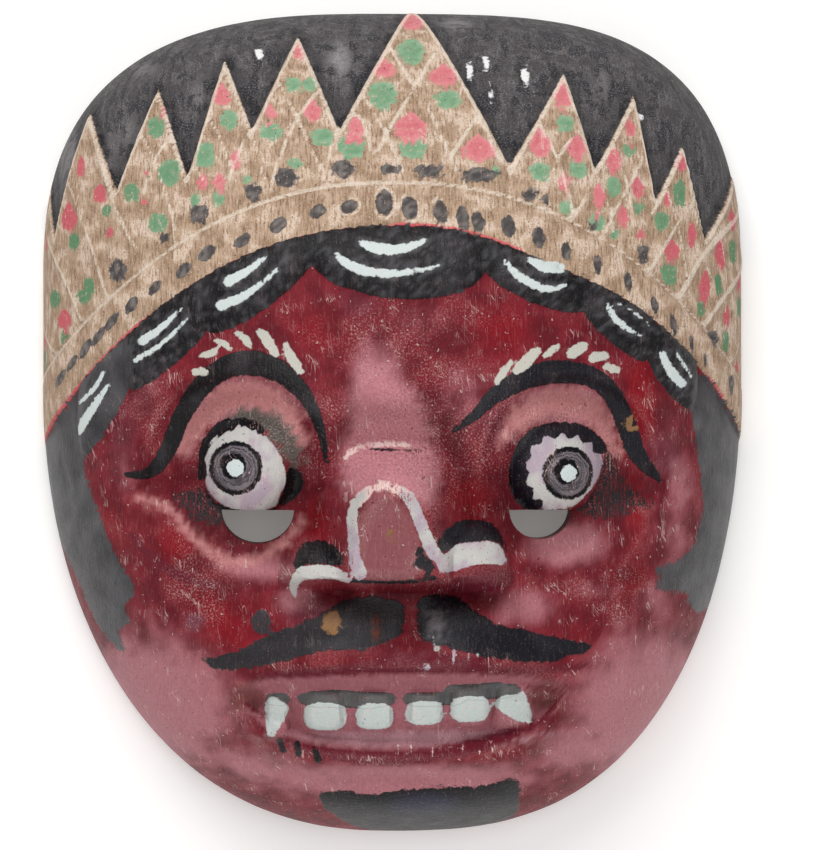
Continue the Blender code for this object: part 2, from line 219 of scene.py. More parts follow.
# The nose, slightly to the left of the middle
NOSE_X = -2.0
NOSE_FOOT_Y = -34.4
NOSE_UNDERCUT = 4.2
NOSE_RIDGE = (
    (-42.0, 30.0), (-34.0, 30.0), (-27.0, 29.0), (-20.0, 26.5), (-14.0, 21.5), (-9.0, 12.5),
    (-5.0, 4.0), (-3.0, 1.4), (5.0, 0.0),
)
NOSE_HALF_WIDTH = ((-42.0, 20.5), (-34.0, 20.0), (-20.0, 18.5), (-9.0, 16.0), (5.0, 14.0))
NOSE_ROUNDNESS = 1.9
# The flat front of the nose, cut across it: its rise at the top and at the foot
NOSE_FLAT = ((-42.0, 14.5), (NOSE_FOOT_Y, 16.5), (-14.5, 21.5), (5.0, 27.0))
# Each wing's middle, half width, length and rise
NOSE_WINGS = ((-17.0, 8.6, 10.0, 11.5), (15.8, 10.4, 12.5, 12.0))
NOSTRIL_X, NOSTRIL_Y = 13.5, -38.0
NOSTRIL = ((7.5, 4.0), -2.6)

# The mouth: a smile between two curves that meet at its corners
MOUTH_HALF_WIDTH = 38.0
MOUTH_TOP_Y, MOUTH_TOP_FALL = -55.3, 6.0
MOUTH_LOW_Y, MOUTH_LOW_RISE = -74.6, 13.6
MOUTH_DEPTH = 3.4
MOUTH_TOP_WALL, MOUTH_LOW_WALL = 6.5, 3.0
# Each lip's rise, how far above the mouth's edge its middle runs, and how far from there its rise
# begins to fall and ends
UPPER_LIP_FORM = (2.4, 2.2, 1.0, 5.5)
LOWER_LIP_FORM = (3.0, -3.0, 0.5, 6.0)
LIP_PAST_CORNER, LIP_FADE = 3.0, 10.0
LIP_RISE_IN_MOUTH = 0.35
# Each tooth's middle X, middle Y, half width and half height
TEETH = (
    (-28.0, -67.0, 2.8, 5.6), (-17.5, -65.6, 4.7, 5.2), (-6.3, -65.4, 4.6, 5.2),
    (4.9, -65.0, 4.4, 5.0), (15.2, -64.4, 4.9, 5.0), (25.2, -64.6, 4.9, 5.8),
)
TOOTH_RISE, TOOTH_SHOULDER = 2.4, 0.7

# The soft swells of the face: each one's middle, half size and rise. The second two are mirrored
MUZZLE = ((-1.0, -64.0), (52.0, 30.0), 4.5)
CHIN_CREASE = ((0.0, -80.2), (34.0, 4.0), -2.0)
CHIN = ((2.0, -88.0), (38.0, 9.0), 4.0)
PHILTRUM = ((1.8, -47.0), (3.4, 9.0), -1.2)
MOUSTACHE_SWELL = ((14.5, -46.5), (19.0, 8.5), 2.5)
CHEEK = ((51.5, -43.0), (26.0, 26.0), 3.0)

# How soon above the rim the carving reaches its full rise: the crown's, then the face's
CROWN_FADE = (2.0, 26.0)
FACE_FADE = (0.0, 12.0)

# Mesh: the hollow has one cell for each three of the face
FACE_CELLS = 294
CELLS_PER_HOLLOW_CELL = 3
SHARP_ANGLE = math.radians(50.0)
HALVINGS = 40
# The gouge marks: their size, their depth in the hollow, the share of it that the face has, and
# how far above the rim they start and are at full depth
GOUGE_WIDTH, GOUGE_LENGTH, GOUGE_DEPTH, GOUGE_SEED = 0.0085, 0.013, 0.0011, 4.0
GOUGE_SHARE_ON_FACE = 0.12
GOUGE_ABOVE_RIM = (0.5, 9.0)

# Paint marks further than this from a place are all the same to it
FAR = 3.0


def ease(start, end, value):
    """0 at start and 1 at end, with a smooth step between; start may be above end."""
    t = np.clip((value - start) / (end - start), 0.0, 1.0)
    return t * t * (3.0 - 2.0 * t)


def mound(x, y, centre, half_size, height):
    """A smooth elliptical rise that is level again at its half size."""
    reach = np.hypot((x - centre[0]) / half_size[0], (y - centre[1]) / half_size[1])
    return height * ease(1.0, 0.0, reach)


def along(points, value):
    """A smooth profile through points given in rising order."""
    at, heights = np.array(points).T
    slopes = np.gradient(heights, at)
    index = np.clip(np.searchsorted(at, value) - 1, 0, len(at) - 2)
    width = at[index + 1] - at[index]
    t = np.clip((value - at[index]) / width, 0.0, 1.0)
    start, end = heights[index], heights[index + 1]
    curve_in, curve_out = slopes[index] * width, slopes[index + 1] * width
    rising = t * t * (3.0 - 2.0 * t)
    bent = t * (1.0 - t) * ((1.0 - t) * curve_in - t * curve_out)
    return start + (end - start) * rising + bent


def outline_level(x, y):
    """1 on the rim's outer edge, less inside it."""
    up = np.maximum(y - CROWN_SHOULDER_Y, 0.0) / (TOP_Y - CROWN_SHOULDER_Y)
    down = np.maximum(JAW_SHOULDER_Y - y, 0.0) / (JAW_SHOULDER_Y - CHIN_Y)
    across = np.where(x < 0.0, x / LEFT_X, x / RIGHT_X)
    crown = across ** np.where(x < 0.0, *CROWN_POWERS_ACROSS) + up**CROWN_POWER_UP
    jaw = across ** np.where(x < 0.0, *JAW_POWERS_ACROSS) + down**JAW_POWER_DOWN
    return np.where(up > 0.0, crown, jaw)


def outline_radius(angle):
    """How far the rim's outer edge is from the hub in each direction, by halving."""
    low = np.zeros_like(angle)
    high = np.full_like(angle, TOP_Y - CHIN_Y)
    for _ in range(HALVINGS):
        middle = (low + high) / 2.0
        inside = outline_level(middle * np.cos(angle), HUB_Y + middle * np.sin(angle)) < 1.0
        low = np.where(inside, middle, low)
        high = np.where(inside, high, middle)
    return low


def dome_power(angle):
    """How squarely the dome falls to the rim: gently at the crown, abruptly at the chin."""
    up = np.sin(angle)
    towards_crown = SIDE_POWER + (CROWN_FALL_POWER - SIDE_POWER) * up**2
    towards_chin = SIDE_POWER + (CHIN_FALL_POWER - SIDE_POWER) * up**4
    return np.where(up > 0.0, towards_crown, towards_chin)


def round_grid(cells):
    """A square grid pressed into a disc: how far out each point is, 0 to 1, and its direction."""
    steps = np.linspace(-1.0, 1.0, cells + 1)
    u, v = np.meshgrid(steps, steps, indexing="ij")
    across = u * np.sqrt(1.0 - v * v / 2.0)
    up = v * np.sqrt(1.0 - u * u / 2.0)
    reach = np.clip(np.hypot(across, up), 0.0, 1.0)
    return np.sin(reach * np.pi / 2.0), np.arctan2(up, across)


def band_edge(x, edge):
    middle, height, fall, power = edge
    return height - fall * np.abs((x - middle) / CROWN_SPREAD) ** power


def band_foot(x):
    middle, half_width, sag = BAND_SAG
    return band_edge(x, BAND_LOW) - sag * np.exp(-(((x - middle) / half_width) ** 2))


def round_crown(x):
    """How far round the crown each X is, so that its carving spreads down the steep sides."""
    return CROWN_SPREAD * np.arcsin(np.clip(x / CROWN_SPREAD, -1.0, 1.0))


def distance_to_path(x, y, path):
    """How far each place is from a line of straight runs."""
    nearest = np.full_like(x, np.inf)
    for (start_x, start_y), (end_x, end_y) in zip(path, path[1:]):
        run_x, run_y = end_x - start_x, end_y - start_y
        t = ((x - start_x) * run_x + (y - start_y) * run_y) / (run_x**2 + run_y**2)
        t = np.clip(t, 0.0, 1.0)
        nearest = np.minimum(nearest, np.hypot(x - start_x - t * run_x, y - start_y - t * run_y))
    return nearest


def inside_triangles(x, y):
    """How far inside the crown's triangles each place is, negative in the gaps between them."""
    round_x = round_crown(x)
    below = np.sign(np.interp(round_x, *np.array(TRIANGLE_FEET_AND_TIPS).T) - y)
    return below * distance_to_path(round_x, y, TRIANGLE_FEET_AND_TIPS)


def hair_shape(x):
    """The lower edge of the hair at each X, and how plump its lock is there, 0 to 1."""
    round_x = round_crown(x)
    ends, drops = np.array(LOCK_ENDS).T
    drop = np.interp(round_x, ends, drops)
    plump = np.zeros_like(x)
    for start, end, belly in zip(ends, ends[1:], LOCK_BELLIES):
        across = (2.0 * round_x - start - end) / (end - start)
        round_lock = np.clip(1.0 - across**2, 0.0, 1.0) ** LOCK_ROUNDNESS
        drop += belly * round_lock
        plump = np.maximum(plump, round_lock)
    within = (round_x > ends[0]) & (round_x < ends[-1])
    return band_edge(x, BAND_LOW) - np.where(within, drop, 0.0), plump


def crown_relief(x, y):
    """Band, triangles and hair, as a rise square to the dome."""
    low, top = band_foot(x), band_edge(x, BAND_TOP)
    within = inside_triangles(x, y)
    from_line = -within_strokes(round_crown(x), y, LATTICE)
    scoops = SCOOP_DEPTH * ease(*SCOOP_FROM_LINE, from_line)
    scoops *= ease(*SCOOP_FROM_EDGE, within) * ease(*SCOOP_FROM_BAND, y - top)
    triangles = TRIANGLE_RISE * ease(-CARVED_EDGE, CARVED_EDGE, within) - scoops
    past_groove = ease(0.0, GROOVE_HALF_WIDTH, np.abs(y - top))
    groove = RISE_IN_GROOVE + (1.0 - RISE_IN_GROOVE) * past_groove
    crown = np.where(y > top, triangles, BAND_RISE) * groove
    crown *= ease(low - CARVED_EDGE, low + CARVED_EDGE, y)
    edge, plump = hair_shape(x)
    width = np.maximum(low - edge, 0.5)
    turn = HAIR_ROLL * np.clip((y - edge) / width, 0.0, 1.0)
    roll = np.clip(4.0 * turn * (1.0 - turn), 0.0, 1.0) ** LOCK_ROUNDNESS
    hair = LOCK_RISE * roll * (RISE_BETWEEN_LOCKS + (1.0 - RISE_BETWEEN_LOCKS) * plump)
    hair = np.where((y > edge) & (y < low), hair, 0.0)
    return np.maximum(crown, hair)


def eye_relief(x, y, side):
    """One eye: a hollow socket with a lid and the ball in it, below a low brow ridge."""
    out = side * x
    reach = np.hypot(
        (out - SOCKET_CENTRE[0]) / SOCKET_HALF_SIZE[0], (y - SOCKET_CENTRE[1]) / SOCKET_HALF_SIZE[1]
    )
    hollow = -SOCKET_DEPTH * np.clip(1.0 - reach**SOCKET_POWER, 0.0, 1.0)
    corner = mound(out, y, *OUTER_CORNER)
    from_ball = np.hypot(out - EYE_X, y - EYE_Y)
    upper = ease(EYE_Y - LID_START, EYE_Y + LID_START, y)
    lid = LID_RISE * upper * ease(EYE_RADIUS + LID_WIDTH, EYE_RADIUS, from_ball)
    ball = BALL_TOP - BALL_RADIUS + np.sqrt(np.maximum(BALL_RADIUS**2 - from_ball**2, 0.0))
    start, full, falling, end = BROW_RIDGE
    brow = BROW_RISE * ease(end, falling, reach) * ease(start, full, reach) * upper
    relief = np.minimum(hollow + lid, 0.0) + corner + brow
    return np.where(from_ball < EYE_RADIUS, np.maximum(ball, relief), relief)


def nose_relief(x, y):
    """The snub nose, its two wings and the hollows under them, with a steep underside."""
    across = (x - NOSE_X) / along(NOSE_HALF_WIDTH, y)
    body = along(NOSE_RIDGE, y) * np.clip(1.0 - across**2, 0.0, 1.0) ** NOSE_ROUNDNESS
    nose = np.minimum(body, along(NOSE_FLAT, y))
    for centre, half_width, length, height in NOSE_WINGS:
        reach = np.hypot((x - NOSE_X - centre) / half_width, (y - NOSE_FOOT_Y) / length)
        nose = np.maximum(nose, height * np.sqrt(np.clip(1.0 - reach**2, 0.0, 1.0)))
    nose *= ease(NOSE_FOOT_Y - NOSE_UNDERCUT, NOSE_FOOT_Y, y)
    for side in (-1.0, 1.0):
        nose += mound(x, y, (NOSE_X + side * NOSTRIL_X, NOSTRIL_Y), *NOSTRIL)
    return nose


def mouth_edges(x):
    """The mouth's upper and lower edge at each X; they meet at its corners."""
    across = (np.abs(x) / MOUTH_HALF_WIDTH) ** 4
    return MOUTH_TOP_Y - MOUTH_TOP_FALL * across, MOUTH_LOW_Y + MOUTH_LOW_RISE * across


def mouth_relief(x, y):
    """A sunk mouth with teeth in it, between two lips."""
    top, low = mouth_edges(x)
    sunk = -MOUTH_DEPTH * ease(0.0, MOUTH_TOP_WALL, top - y) * ease(0.0, MOUTH_LOW_WALL, y - low)
    teeth = np.zeros_like(x)
    for centre_x, centre_y, half_width, half_height in TEETH:
        squared = ((x - centre_x) / half_width) ** 4 + ((y - centre_y) / half_height) ** 4
        teeth = np.maximum(teeth, TOOTH_RISE * ease(1.0, TOOTH_SHOULDER, squared**0.25))
    ends = ease(MOUTH_HALF_WIDTH + LIP_PAST_CORNER, MOUTH_HALF_WIDTH - LIP_FADE, np.abs(x))
    lips = np.zeros_like(x)
    for mouth_edge, form in ((top, UPPER_LIP_FORM), (low, LOWER_LIP_FORM)):
        rise, above, falling, end = form
        lips += rise * ends * ease(end, falling, np.abs(y - mouth_edge - above))
    in_mouth = (y < top) & (y > low)
    return sunk + teeth + np.where(in_mouth, LIP_RISE_IN_MOUTH * lips, lips)


def face_relief(x, y):
    """Everything below the crown, as a rise along Z."""
    swells = mound(x, y, *MUZZLE) + mound(x, y, *CHIN_CREASE) + mound(x, y, *CHIN)
    swells += mound(x, y, *PHILTRUM)
    for side in (-1.0, 1.0):
        swells += mound(side * x, y, *MOUSTACHE_SWELL) + mound(side * x, y, *CHEEK)
        swells += eye_relief(x, y, side)
    return swells + nose_relief(x, y) + mouth_relief(x, y)


def square_to(grid):
    """The direction square to a grid of points, at each of them."""
    square = np.cross(np.gradient(grid, axis=0), np.gradient(grid, axis=1))
    return square / np.linalg.norm(square, axis=-1, keepdims=True)


def front_surface(rho, angle):
    """The carved face and crown, and each point's place on the uncarved dome."""
    radius = outline_radius(angle)
    x = rho * radius * np.cos(angle)
    y = HUB_Y + rho * radius * np.sin(angle)
    z = DOME_HEIGHT * np.sqrt(np.clip(1.0 - rho ** dome_power(angle), 0.0, 1.0))
    dome = np.stack([x, y, z], axis=-1)
    carved = dome + square_to(dome) * (crown_relief(x, y) * ease(*CROWN_FADE, z))[..., None]
    carved[..., 2] += face_relief(x, y) * ease(*FACE_FADE, z)
    return carved, x, y


def hollow_surface(rho, angle):
    """The hollow behind the face, with a pocket behind the nose."""
    radius = outline_radius(angle) - RIM_WIDTH
    x = rho * radius * np.cos(angle)
    y = HUB_Y + rho * radius * np.sin(angle)
    z = HOLLOW_HEIGHT * np.sqrt(np.clip(1.0 - rho**HOLLOW_POWER, 0.0, 1.0))
    z += mound(x, y, (NOSE_X, NOSE_POCKET_Y), NOSE_POCKET_HALF_SIZE, NOSE_POCKET_DEPTH)
    return np.stack([x, y, z], axis=-1)


def blurred(grid, reach):
    """A grid of points with each moved to the mean of its neighbours up to so many cells away."""
    for axis in (0, 1):
        total = np.zeros_like(grid)
        for shift in range(-reach, reach + 1):
            index = np.clip(np.arange(grid.shape[axis]) + shift, 0, grid.shape[axis] - 1)
            total += np.take(grid, index, axis=axis)
        grid = total / (2 * reach + 1)
    return grid


def standing_proud(carved, reach):
    """How far each place stands out from the form round it, negative in hollows."""
    return np.sum((carved - blurred(carved, reach)) * square_to(carved), axis=-1)


def grid_edge(size, step=1):
    """The points round the edge of a square grid, in turn."""
    index = np.arange(size * size).reshape(size, size)
    sides = index[:-1, 0], index[-1, :-1], index[:0:-1, -1], index[0, :0:-1]
    return np.concatenate(sides)[::step]


def grid_faces(size):
    index = np.arange(size * size).reshape(size, size)
    corners = index[:-1, :-1], index[1:, :-1], index[1:, 1:], index[:-1, 1:]
    return np.stack(corners, axis=-1).reshape(-1, 4)


def closed_shell(front, back):
    """Joins a fine front grid and a coarser back grid into one closed mesh."""
    front_size, back_size = front.shape[0], back.shape[0]
    first_back = front_size * front_size
    faces = grid_faces(front_size).tolist()
    faces += (grid_faces(back_size)[:, ::-1] + first_back).tolist()
    outer, inner = grid_edge(front_size), grid_edge(back_size) + first_back
    for i, back_here in enumerate(inner):
        back_next = inner[(i + 1) % len(inner)]
        run = [outer[(CELLS_PER_HOLLOW_CELL * i + k) % len(outer)] for k in range(4)]
        faces += [
            [run[1], run[0], back_here], [run[2], run[1], back_here],
            [run[2], back_here, back_next], [run[3], run[2], back_next],
        ]
    points = np.concatenate([front.reshape(-1, 3), back.reshape(-1, 3)])
    return points, [[int(i) for i in face] for face in faces]


# ---- The painter's colours and marks, in millimetres ----


def tint(red, green, blue):
    """A paint's colour from the 0 to 255 of a colour card."""
    parts = []
    for level in (red, green, blue):
        level /= 255.0
        parts.append(level / 12.92 if level <= 0.04045 else ((level + 0.055) / 1.055) ** 2.4)
    return (*parts, 1.0)


# The face: its reds from deep to dusty, then the worn and pale places in them. The dusty red and
# the pale pinks are partly worn paint and partly a painted sheen where light catches the face
RED_DARK = tint(54, 14, 20)
RED_DEEP = tint(100, 24, 34)
RED = tint(126, 36, 46)
RED_BRIGHT = tint(134, 16, 28)
RED_DULL = tint(110, 56, 70)
DUSTY_RED_AND_SHEEN = tint(184, 121, 129)
PALE_RED = tint(196, 130, 130)
SKIN_PINK = tint(192, 124, 132)
MAUVE = tint(140, 82, 86)
FLECK = tint(228, 196, 190)
SMEAR_GREY = tint(96, 92, 86)

# The mouth. The pale lip is partly a painted highlight, the gum in painted shade darkens the
# mouth's corners and below the teeth, and the lips' red also paints shade under the nose's right
# wing
LIP_RED = tint(104, 30, 44)
LIP_PALE = tint(182, 136, 144)
GUM = tint(160, 98, 106)
# The gum as it looks in shade: painted shade in the mouth
GUM_IN_PAINTED_SHADE = tint(122, 68, 68)
TOOTH = tint(190, 199, 196)
TOOTH_SHADE = tint(88, 88, 88)

# The crown: its tan, lines, blobs and dots, then the wedges between its triangles, whose pale grey
# is partly a painted highlight
TAN = tint(190, 162, 138)
TAN_PALE = tint(224, 206, 188)
TAN_BROWN = tint(150, 122, 98)
TAN_DARK = tint(98, 82, 72)
CREAM = tint(230, 216, 200)
GREEN = tint(92, 134, 98)
GREEN_PALE = tint(160, 196, 164)
ROSE = tint(196, 92, 102)
ROSE_PALE = tint(230, 160, 162)
EDGE_RED = tint(206, 98, 100)
SOOT = tint(66, 63, 63)
SOOT_GREY = tint(118, 112, 108)
GROUND_BLACK = tint(56, 55, 58)
GROUND_GREY = tint(104, 100, 101)
GROUND_PALE = tint(160, 155, 156)
CHIP_WHITE = tint(232, 232, 232)

# The blacks of the hair, brows, moustache and chin
BLACK = tint(12, 11, 15)
BLACK_WORN = tint(50, 48, 52)
BLACK_SHEEN = tint(108, 108, 112)
BLUE_BLACK_PAINT = tint(14, 14, 26)
BLUE_INK = tint(36, 36, 56)
CHIN_GREY = tint(36, 36, 39)

# Whites, highlights, irises and chips
WHITE = tint(192, 192, 188)
LILAC = tint(172, 158, 170)
MINT = tint(204, 214, 212)
BROW_GREY = tint(190, 190, 180)
IRIS = tint(118, 110, 114)
IRIS_DARK = tint(74, 68, 74)
GOLD = tint(136, 100, 64)
RUST = tint(92, 40, 24)

# The unpainted hollow and rim
BARE_WOOD = tint(150, 112, 82)
BARE_WOOD_DARK = tint(92, 62, 44)

# Each painted outline lists the points of its edge in turn
MOUSTACHE = (
    ((-46, -53.5), (-41, -56.5), (-35.5, -55.5), (-27.5, -54), (-20.5, -51.5), (-14, -50.5),
     (-9.5, -51), (-6, -49.5), (-0.5, -48), (0, -46.5), (0.5, -39.5), (-12, -39), (-17.5, -42.5),
     (-23.5, -45.5), (-29.5, -47.5), (-36.5, -51.5), (-42.5, -53.5)),
    ((3, -46), (3, -41), (4, -39), (12, -39), (15.5, -42.5), (21, -45.5), (30, -47.5), (37, -49.5),
     (44, -50.5), (41.5, -52.5), (36.5, -53), (35.5, -54), (27, -54), (18, -52.5), (12, -51),
     (6, -49.5), (3.5, -48.5)),
)
SIDEBURNS = (
    ((-90, -2), (-62, 21), (-59.5, 11), (-61.2, 8.3), (-63.4, 3.8), (-66.4, -1.7), (-69.3, -6),
     (-72.7, -7.2), (-71.8, -13.9), (-69.5, -19.5), (-65, -31.5), (-59, -39), (-64, -42.5),
     (-61, -46.5), (-65, -48), (-62.5, -55), (-69.5, -49.5), (-77, -33), (-86, -19.5)),
    ((66.5, 2.5), (67, 12), (76, 8), (90, -10), (86, -29), (79, -41), (71.5, -46.5), (66, -41.5),
     (68.5, -40), (56.5, -38.5), (60, -36), (56.5, -33.5), (67, -32), (71, -21), (69.6, -13.8),
     (69, -9.9), (67.8, -2.8)),
)
CHIN_PATCH = (
    (-19, -87), (-18, -84.5), (-13.5, -84), (-6.5, -85), (1, -83.5), (10.5, -83), (18, -83.5),
    (25.5, -81.5), (27, -82.5), (28, -86.5), (28, -93.5), (21.5, -96.5), (12, -98), (2.5, -98),
    (-7, -97), (-14.5, -92),
)
# Black over each wing of the nose, then beside its tip
NOSE_WING_BLACK = (
    ((-24.5, -32), (-23.5, -28.5), (-21.5, -26.5), (-17, -26.5), (-14.5, -28), (-13.5, -31),
     (-14, -32), (-17.5, -31.5), (-22.5, -31.5), (-23, -34.5)),
    ((6.5, -26), (9, -23.5), (12.5, -22), (17, -22), (20.5, -23.5), (22.5, -27), (23, -31.5),
     (22, -29), (20.5, -27), (17.5, -26.5), (14, -27), (11.5, -27), (9, -29), (7, -28.5)),
    ((2, -27.5), (3.5, -27.5), (4, -30), (6, -30.5), (6, -32.5), (4.5, -34), (3.5, -32), (1, -32),
     (1, -31), (2, -31)),
)
NOSE_WING_WHITE = (
    ((-23, -32), (-17.5, -31.5), (-14, -32.5), (-12, -34.5), (-12, -36), (-15, -35),
     (-19.5, -34.5), (-23.5, -35.5), (-23.5, -39.5), (-24.5, -39.5), (-25.5, -36.5),
     (-24.5, -33.5)),
    ((6.5, -30), (9, -29), (11.5, -27), (14, -27), (17.5, -26.5), (20.5, -27), (22, -29),
     (23, -32.5), (19.5, -31.5), (15.5, -31.5), (12.5, -32.5), (9, -33.5), (6.5, -32.5)),
)
EYE_WHITES = (
    ((-44.5, -9.5), (-44, -5.5), (-42, -3.5), (-38, -1.5), (-36, -0.5), (-33.5, -1.5),
     (-30.5, -3.5), (-28, -6.5), (-26, -11), (-26, -14.5), (-27.5, -17), (-28, -19.5),
     (-30.5, -20.5), (-34.5, -21), (-38, -20), (-41.5, -18.5), (-43.5, -16), (-44.5, -13)),
    ((26.8, -8), (28.6, -4.4), (32.8, -2.6), (37, -2.6), (40.5, -3.4), (43, -4.8), (45.2, -7.5),
     (45.6, -9.8), (44.2, -13.8), (41, -17.4), (38, -19.8), (33.5, -20.6), (31, -20.6),
     (29.4, -18.5), (27.6, -16.5), (26.6, -14), (26.4, -11)),
)
EYE_BLACK = (
    ((23.5, -12.5), (24, -9), (25.5, -5), (28.5, -2), (33, -0.5), (36, -0.5), (40.5, -1),
     (43.5, -2.5), (45.5, -5.5), (45, -7.5), (42, -5.5), (37, -5.5), (33.5, -3.5), (29.5, -5.5),
     (27.5, -9), (28, -13.5), (30.5, -18.5), (31.5, -20.5), (28, -20.5), (25.5, -18.5), (24, -16)),
    ((-26, -10.5), (-23, -11), (-22, -13.5), (-22.5, -16), (-25, -18.5), (-28, -19.5),
     (-27, -16.5), (-26, -13.5)),
)
# Where the lashes' black bites into each white in lobes: the middle that they are counted round,
# how many to a full turn, the first and last direction in degrees, and how deep
EYE_LOBES = (((-36, -11.5), 46, 62, 190, 0.9), ((36.5, -12), 15, 30, 235, 1.6))
# How many degrees before and past its first and last direction a row of lobes fades out and in
LOBE_FADE = (8.0, 4.0)
# Grey smears over the left eye, then the black ones at each eye's outer corner
EYE_SMEARS = (
    ((-40, 0.5), (-36, 2.5), (-31, 2.5), (-27, 0.5), (-24, -3), (-22, -8), (-23, -12),
     (-25.5, -10), (-28, -5.5), (-31, -2.5), (-35, -1), (-40, -2.5)),
)
SMEARS = (
    ((-49.5, -16), (-44.5, -15.5), (-43, -17.5), (-40, -20.5), (-40, -23), (-43, -23.5),
     (-46, -23.5), (-49.5, -20), (-52, -17.5)),
    ((45.5, -7.5), (49, -8), (50, -13), (54, -16), (56, -18), (58, -19.5), (52.5, -20), (52, -22),
     (43, -22), (40.5, -21), (39, -20), (44, -16)),
)
MOUSTACHE_SHEEN = ((4.5, -41), (8.5, -42), (10, -49.5), (5, -49))
# A pale band on the lower lip's inner slope: partly paler paint, partly a painted highlight where
# it faces up
PALE_LIP = (2.0, -71.4, 25.0, 1.7)
# Painted shade on the gum: in each corner of the mouth, then below the teeth
MOUTH_PAINTED_SHADES = ((-35, -62.5, 4.5, 3), (32.5, -62, 5, 3.4), (0, -72.2, 26, 1.1))
LOWER_LIP = (
    (-28.5, -70.5), (-18.5, -73), (-5.5, -74), (6.5, -73.5), (18.5, -71), (27, -68.5), (30.5, -67),
    (30.5, -68.5), (27.5, -70.5), (18.5, -74.5), (6.5, -77), (-5.5, -77.5), (-18.5, -76),
    (-28.5, -72),
)
UPPER_LIP = (
    (-36, -57.5), (-24, -55), (-10, -54), (-3, -51.5), (3, -51), (12, -52), (26, -55),
    (43.5, -54.5), (41, -56.5), (24, -57), (3, -56), (-10, -56.5), (-24, -57.5),
)
# Dark crimson under the right wing of the nose: painted shade
NOSE_UNDERSIDE = (
    (9.5, -34.5), (15, -33), (19.5, -32.5), (24, -33.5), (25, -36.5), (21, -39), (14, -38.5),
    (10, -37),
)
CRIMSON_LINES = (
    ((-43.5, -17, 0.3), (-38, -20.8, 0.5), (-31, -21.4, 0.5), (-27.5, -19.5, 0.3)),
    ((36.5, -61.5, 0.3), (33, -66.5, 0.5), (28.5, -70, 0.6), (18, -73.5, 0.5)),
    ((-38.5, -61.2, 0.25), (-34.5, -64.5, 0.35), (-31, -66.5, 0.3)),
    ((27.5, -59.8, 0.25), (32, -60, 0.3), (36.5, -61.2, 0.25)),
    ((-61, -26, 0.7), (-57, -31, 1.2), (-50, -35, 1.3), (-42, -37, 1)),
)
FANGS = (
    ((-30.5, -63), (-29, -61.5), (-25, -64), (-26, -66.5), (-27.5, -69.5), (-30, -71.5),
     (-30.5, -68.5), (-31, -65)),
    ((20, -63.5), (22, -61.5), (26, -61.5), (26.5, -59.5), (28.5, -64), (30, -68.5), (26.5, -68),
     (22, -65.5)),
)
# Painted teeth between the fangs: left, right, top and bottom
PAINTED_TEETH = (
    (-22, -12.5, -63, -69.5), (-10.5, -2, -63, -69), (0.5, 9, -62.5, -68),
    (10.5, 19.5, -61.5, -67.5),
)
# Dark patches above the teeth, the same way round
TOOTH_SHADES = (
    (-23.4, -1.6, -60.4, -64), (-0.2, 14, -60.6, -63.6), (9, 26.4, -58.8, -62.2),
    (-30.5, -25.2, -61.2, -64),
)
# Pink over the nose's bridge: partly paint, partly a painted sheen where it faces the light
NOSE_BRIDGE = (
    (-12, -18), (-14.5, -10), (-12, -4), (-7, 8), (2, 8), (6.5, -4), (7.5, -11), (5, -20),
    (-4, -14),
)
NOSE_FACET = (
    (-10.5, -34), (-11, -25), (-9.5, -19), (-5, -15.5), (0, -19), (3, -25), (5, -32), (1, -35),
    (-6, -35),
)
# Pale pink over each socket: partly worn paint, partly a painted sheen
SOCKET_TOPS = (
    ((-53, -6), (-48, 3), (-40, 8), (-32, 9), (-25, 5), (-21, -4), (-23, -8), (-29, 0), (-37, 2.5),
     (-45, -2), (-48, -9)),
    ((20, -6), (25, 4), (34, 7.5), (43, 6), (49, -2), (50, -9), (47, -8), (41, 1), (33, 1),
     (25, -3)),
)

# Each brush stroke lists X, Y and its half width from end to end
BROWS = (
    ((-62.5, -12.5, 0.55), (-56.5, -12.5, 1.35), (-52.5, -7, 2), (-50, 0, 2), (-46, 6.5, 2.25),
     (-40.5, 11.5, 2.45), (-34, 13, 2.9), (-27.5, 11, 2.45), (-22, 6, 1.75), (-18.5, -1, 1.1),
     (-17, -9.5, 0.55)),
    ((11, -2.5, 0.45), (16, 1, 1.1), (19.5, 5, 1.75), (26, 9, 2.45), (34, 11, 2.65),
     (42.5, 10, 2.25), (47.5, 6, 2), (51, -1, 2.25), (53.5, -8.5, 2.05), (59, -13.5, 0.7)),
)
# Fine black lines: two at the left eye, the nose's foot and bridge, then ticks on the lower lip
FINE_LINES = (
    ((-45.5, -11, 0.5), (-44, -5.5, 0.8), (-41.5, -1.5, 0.9), (-38.5, 0.2, 0.4)),
    ((-42.5, -18.5, 0.4), (-38, -20.5, 0.5), (-32.5, -21.5, 0.5), (-28, -20.5, 0.4)),
    ((-12, -35, 0.5), (-6.5, -35.5, 0.5), (-2, -35.5, 0.5), (3, -35, 0.5), (6.5, -34, 0.5)),
    ((-7.8, -6.4, 0.15), (-3.5, -6.7, 0.25), (1, -6.4, 0.2), (4, -7.4, 0.15)),
    ((-27.6, -71.6, 0.6), (-26.6, -74.2, 0.7)), ((-23.6, -72.4, 0.6), (-23.2, -75, 0.7)),
    ((-19.6, -73.6, 0.6), (-18.8, -76.2, 0.8)),
)
NOSE_STROKES = (
    ((-9.5, -16.5, 0.5), (-11, -18, 0.8), (-12, -21.5, 1.1), (-11.5, -25, 1.1), (-11.5, -29, 1.2),
     (-10.5, -32.5, 1.6), (-10, -33.5, 1.4)),
    ((-1, -16, 0.9), (1.5, -18.5, 1.3), (2.5, -21.5, 1.3), (4, -25, 1.4), (5.5, -28.5, 1.4),
     (7, -30, 1.3)),
)
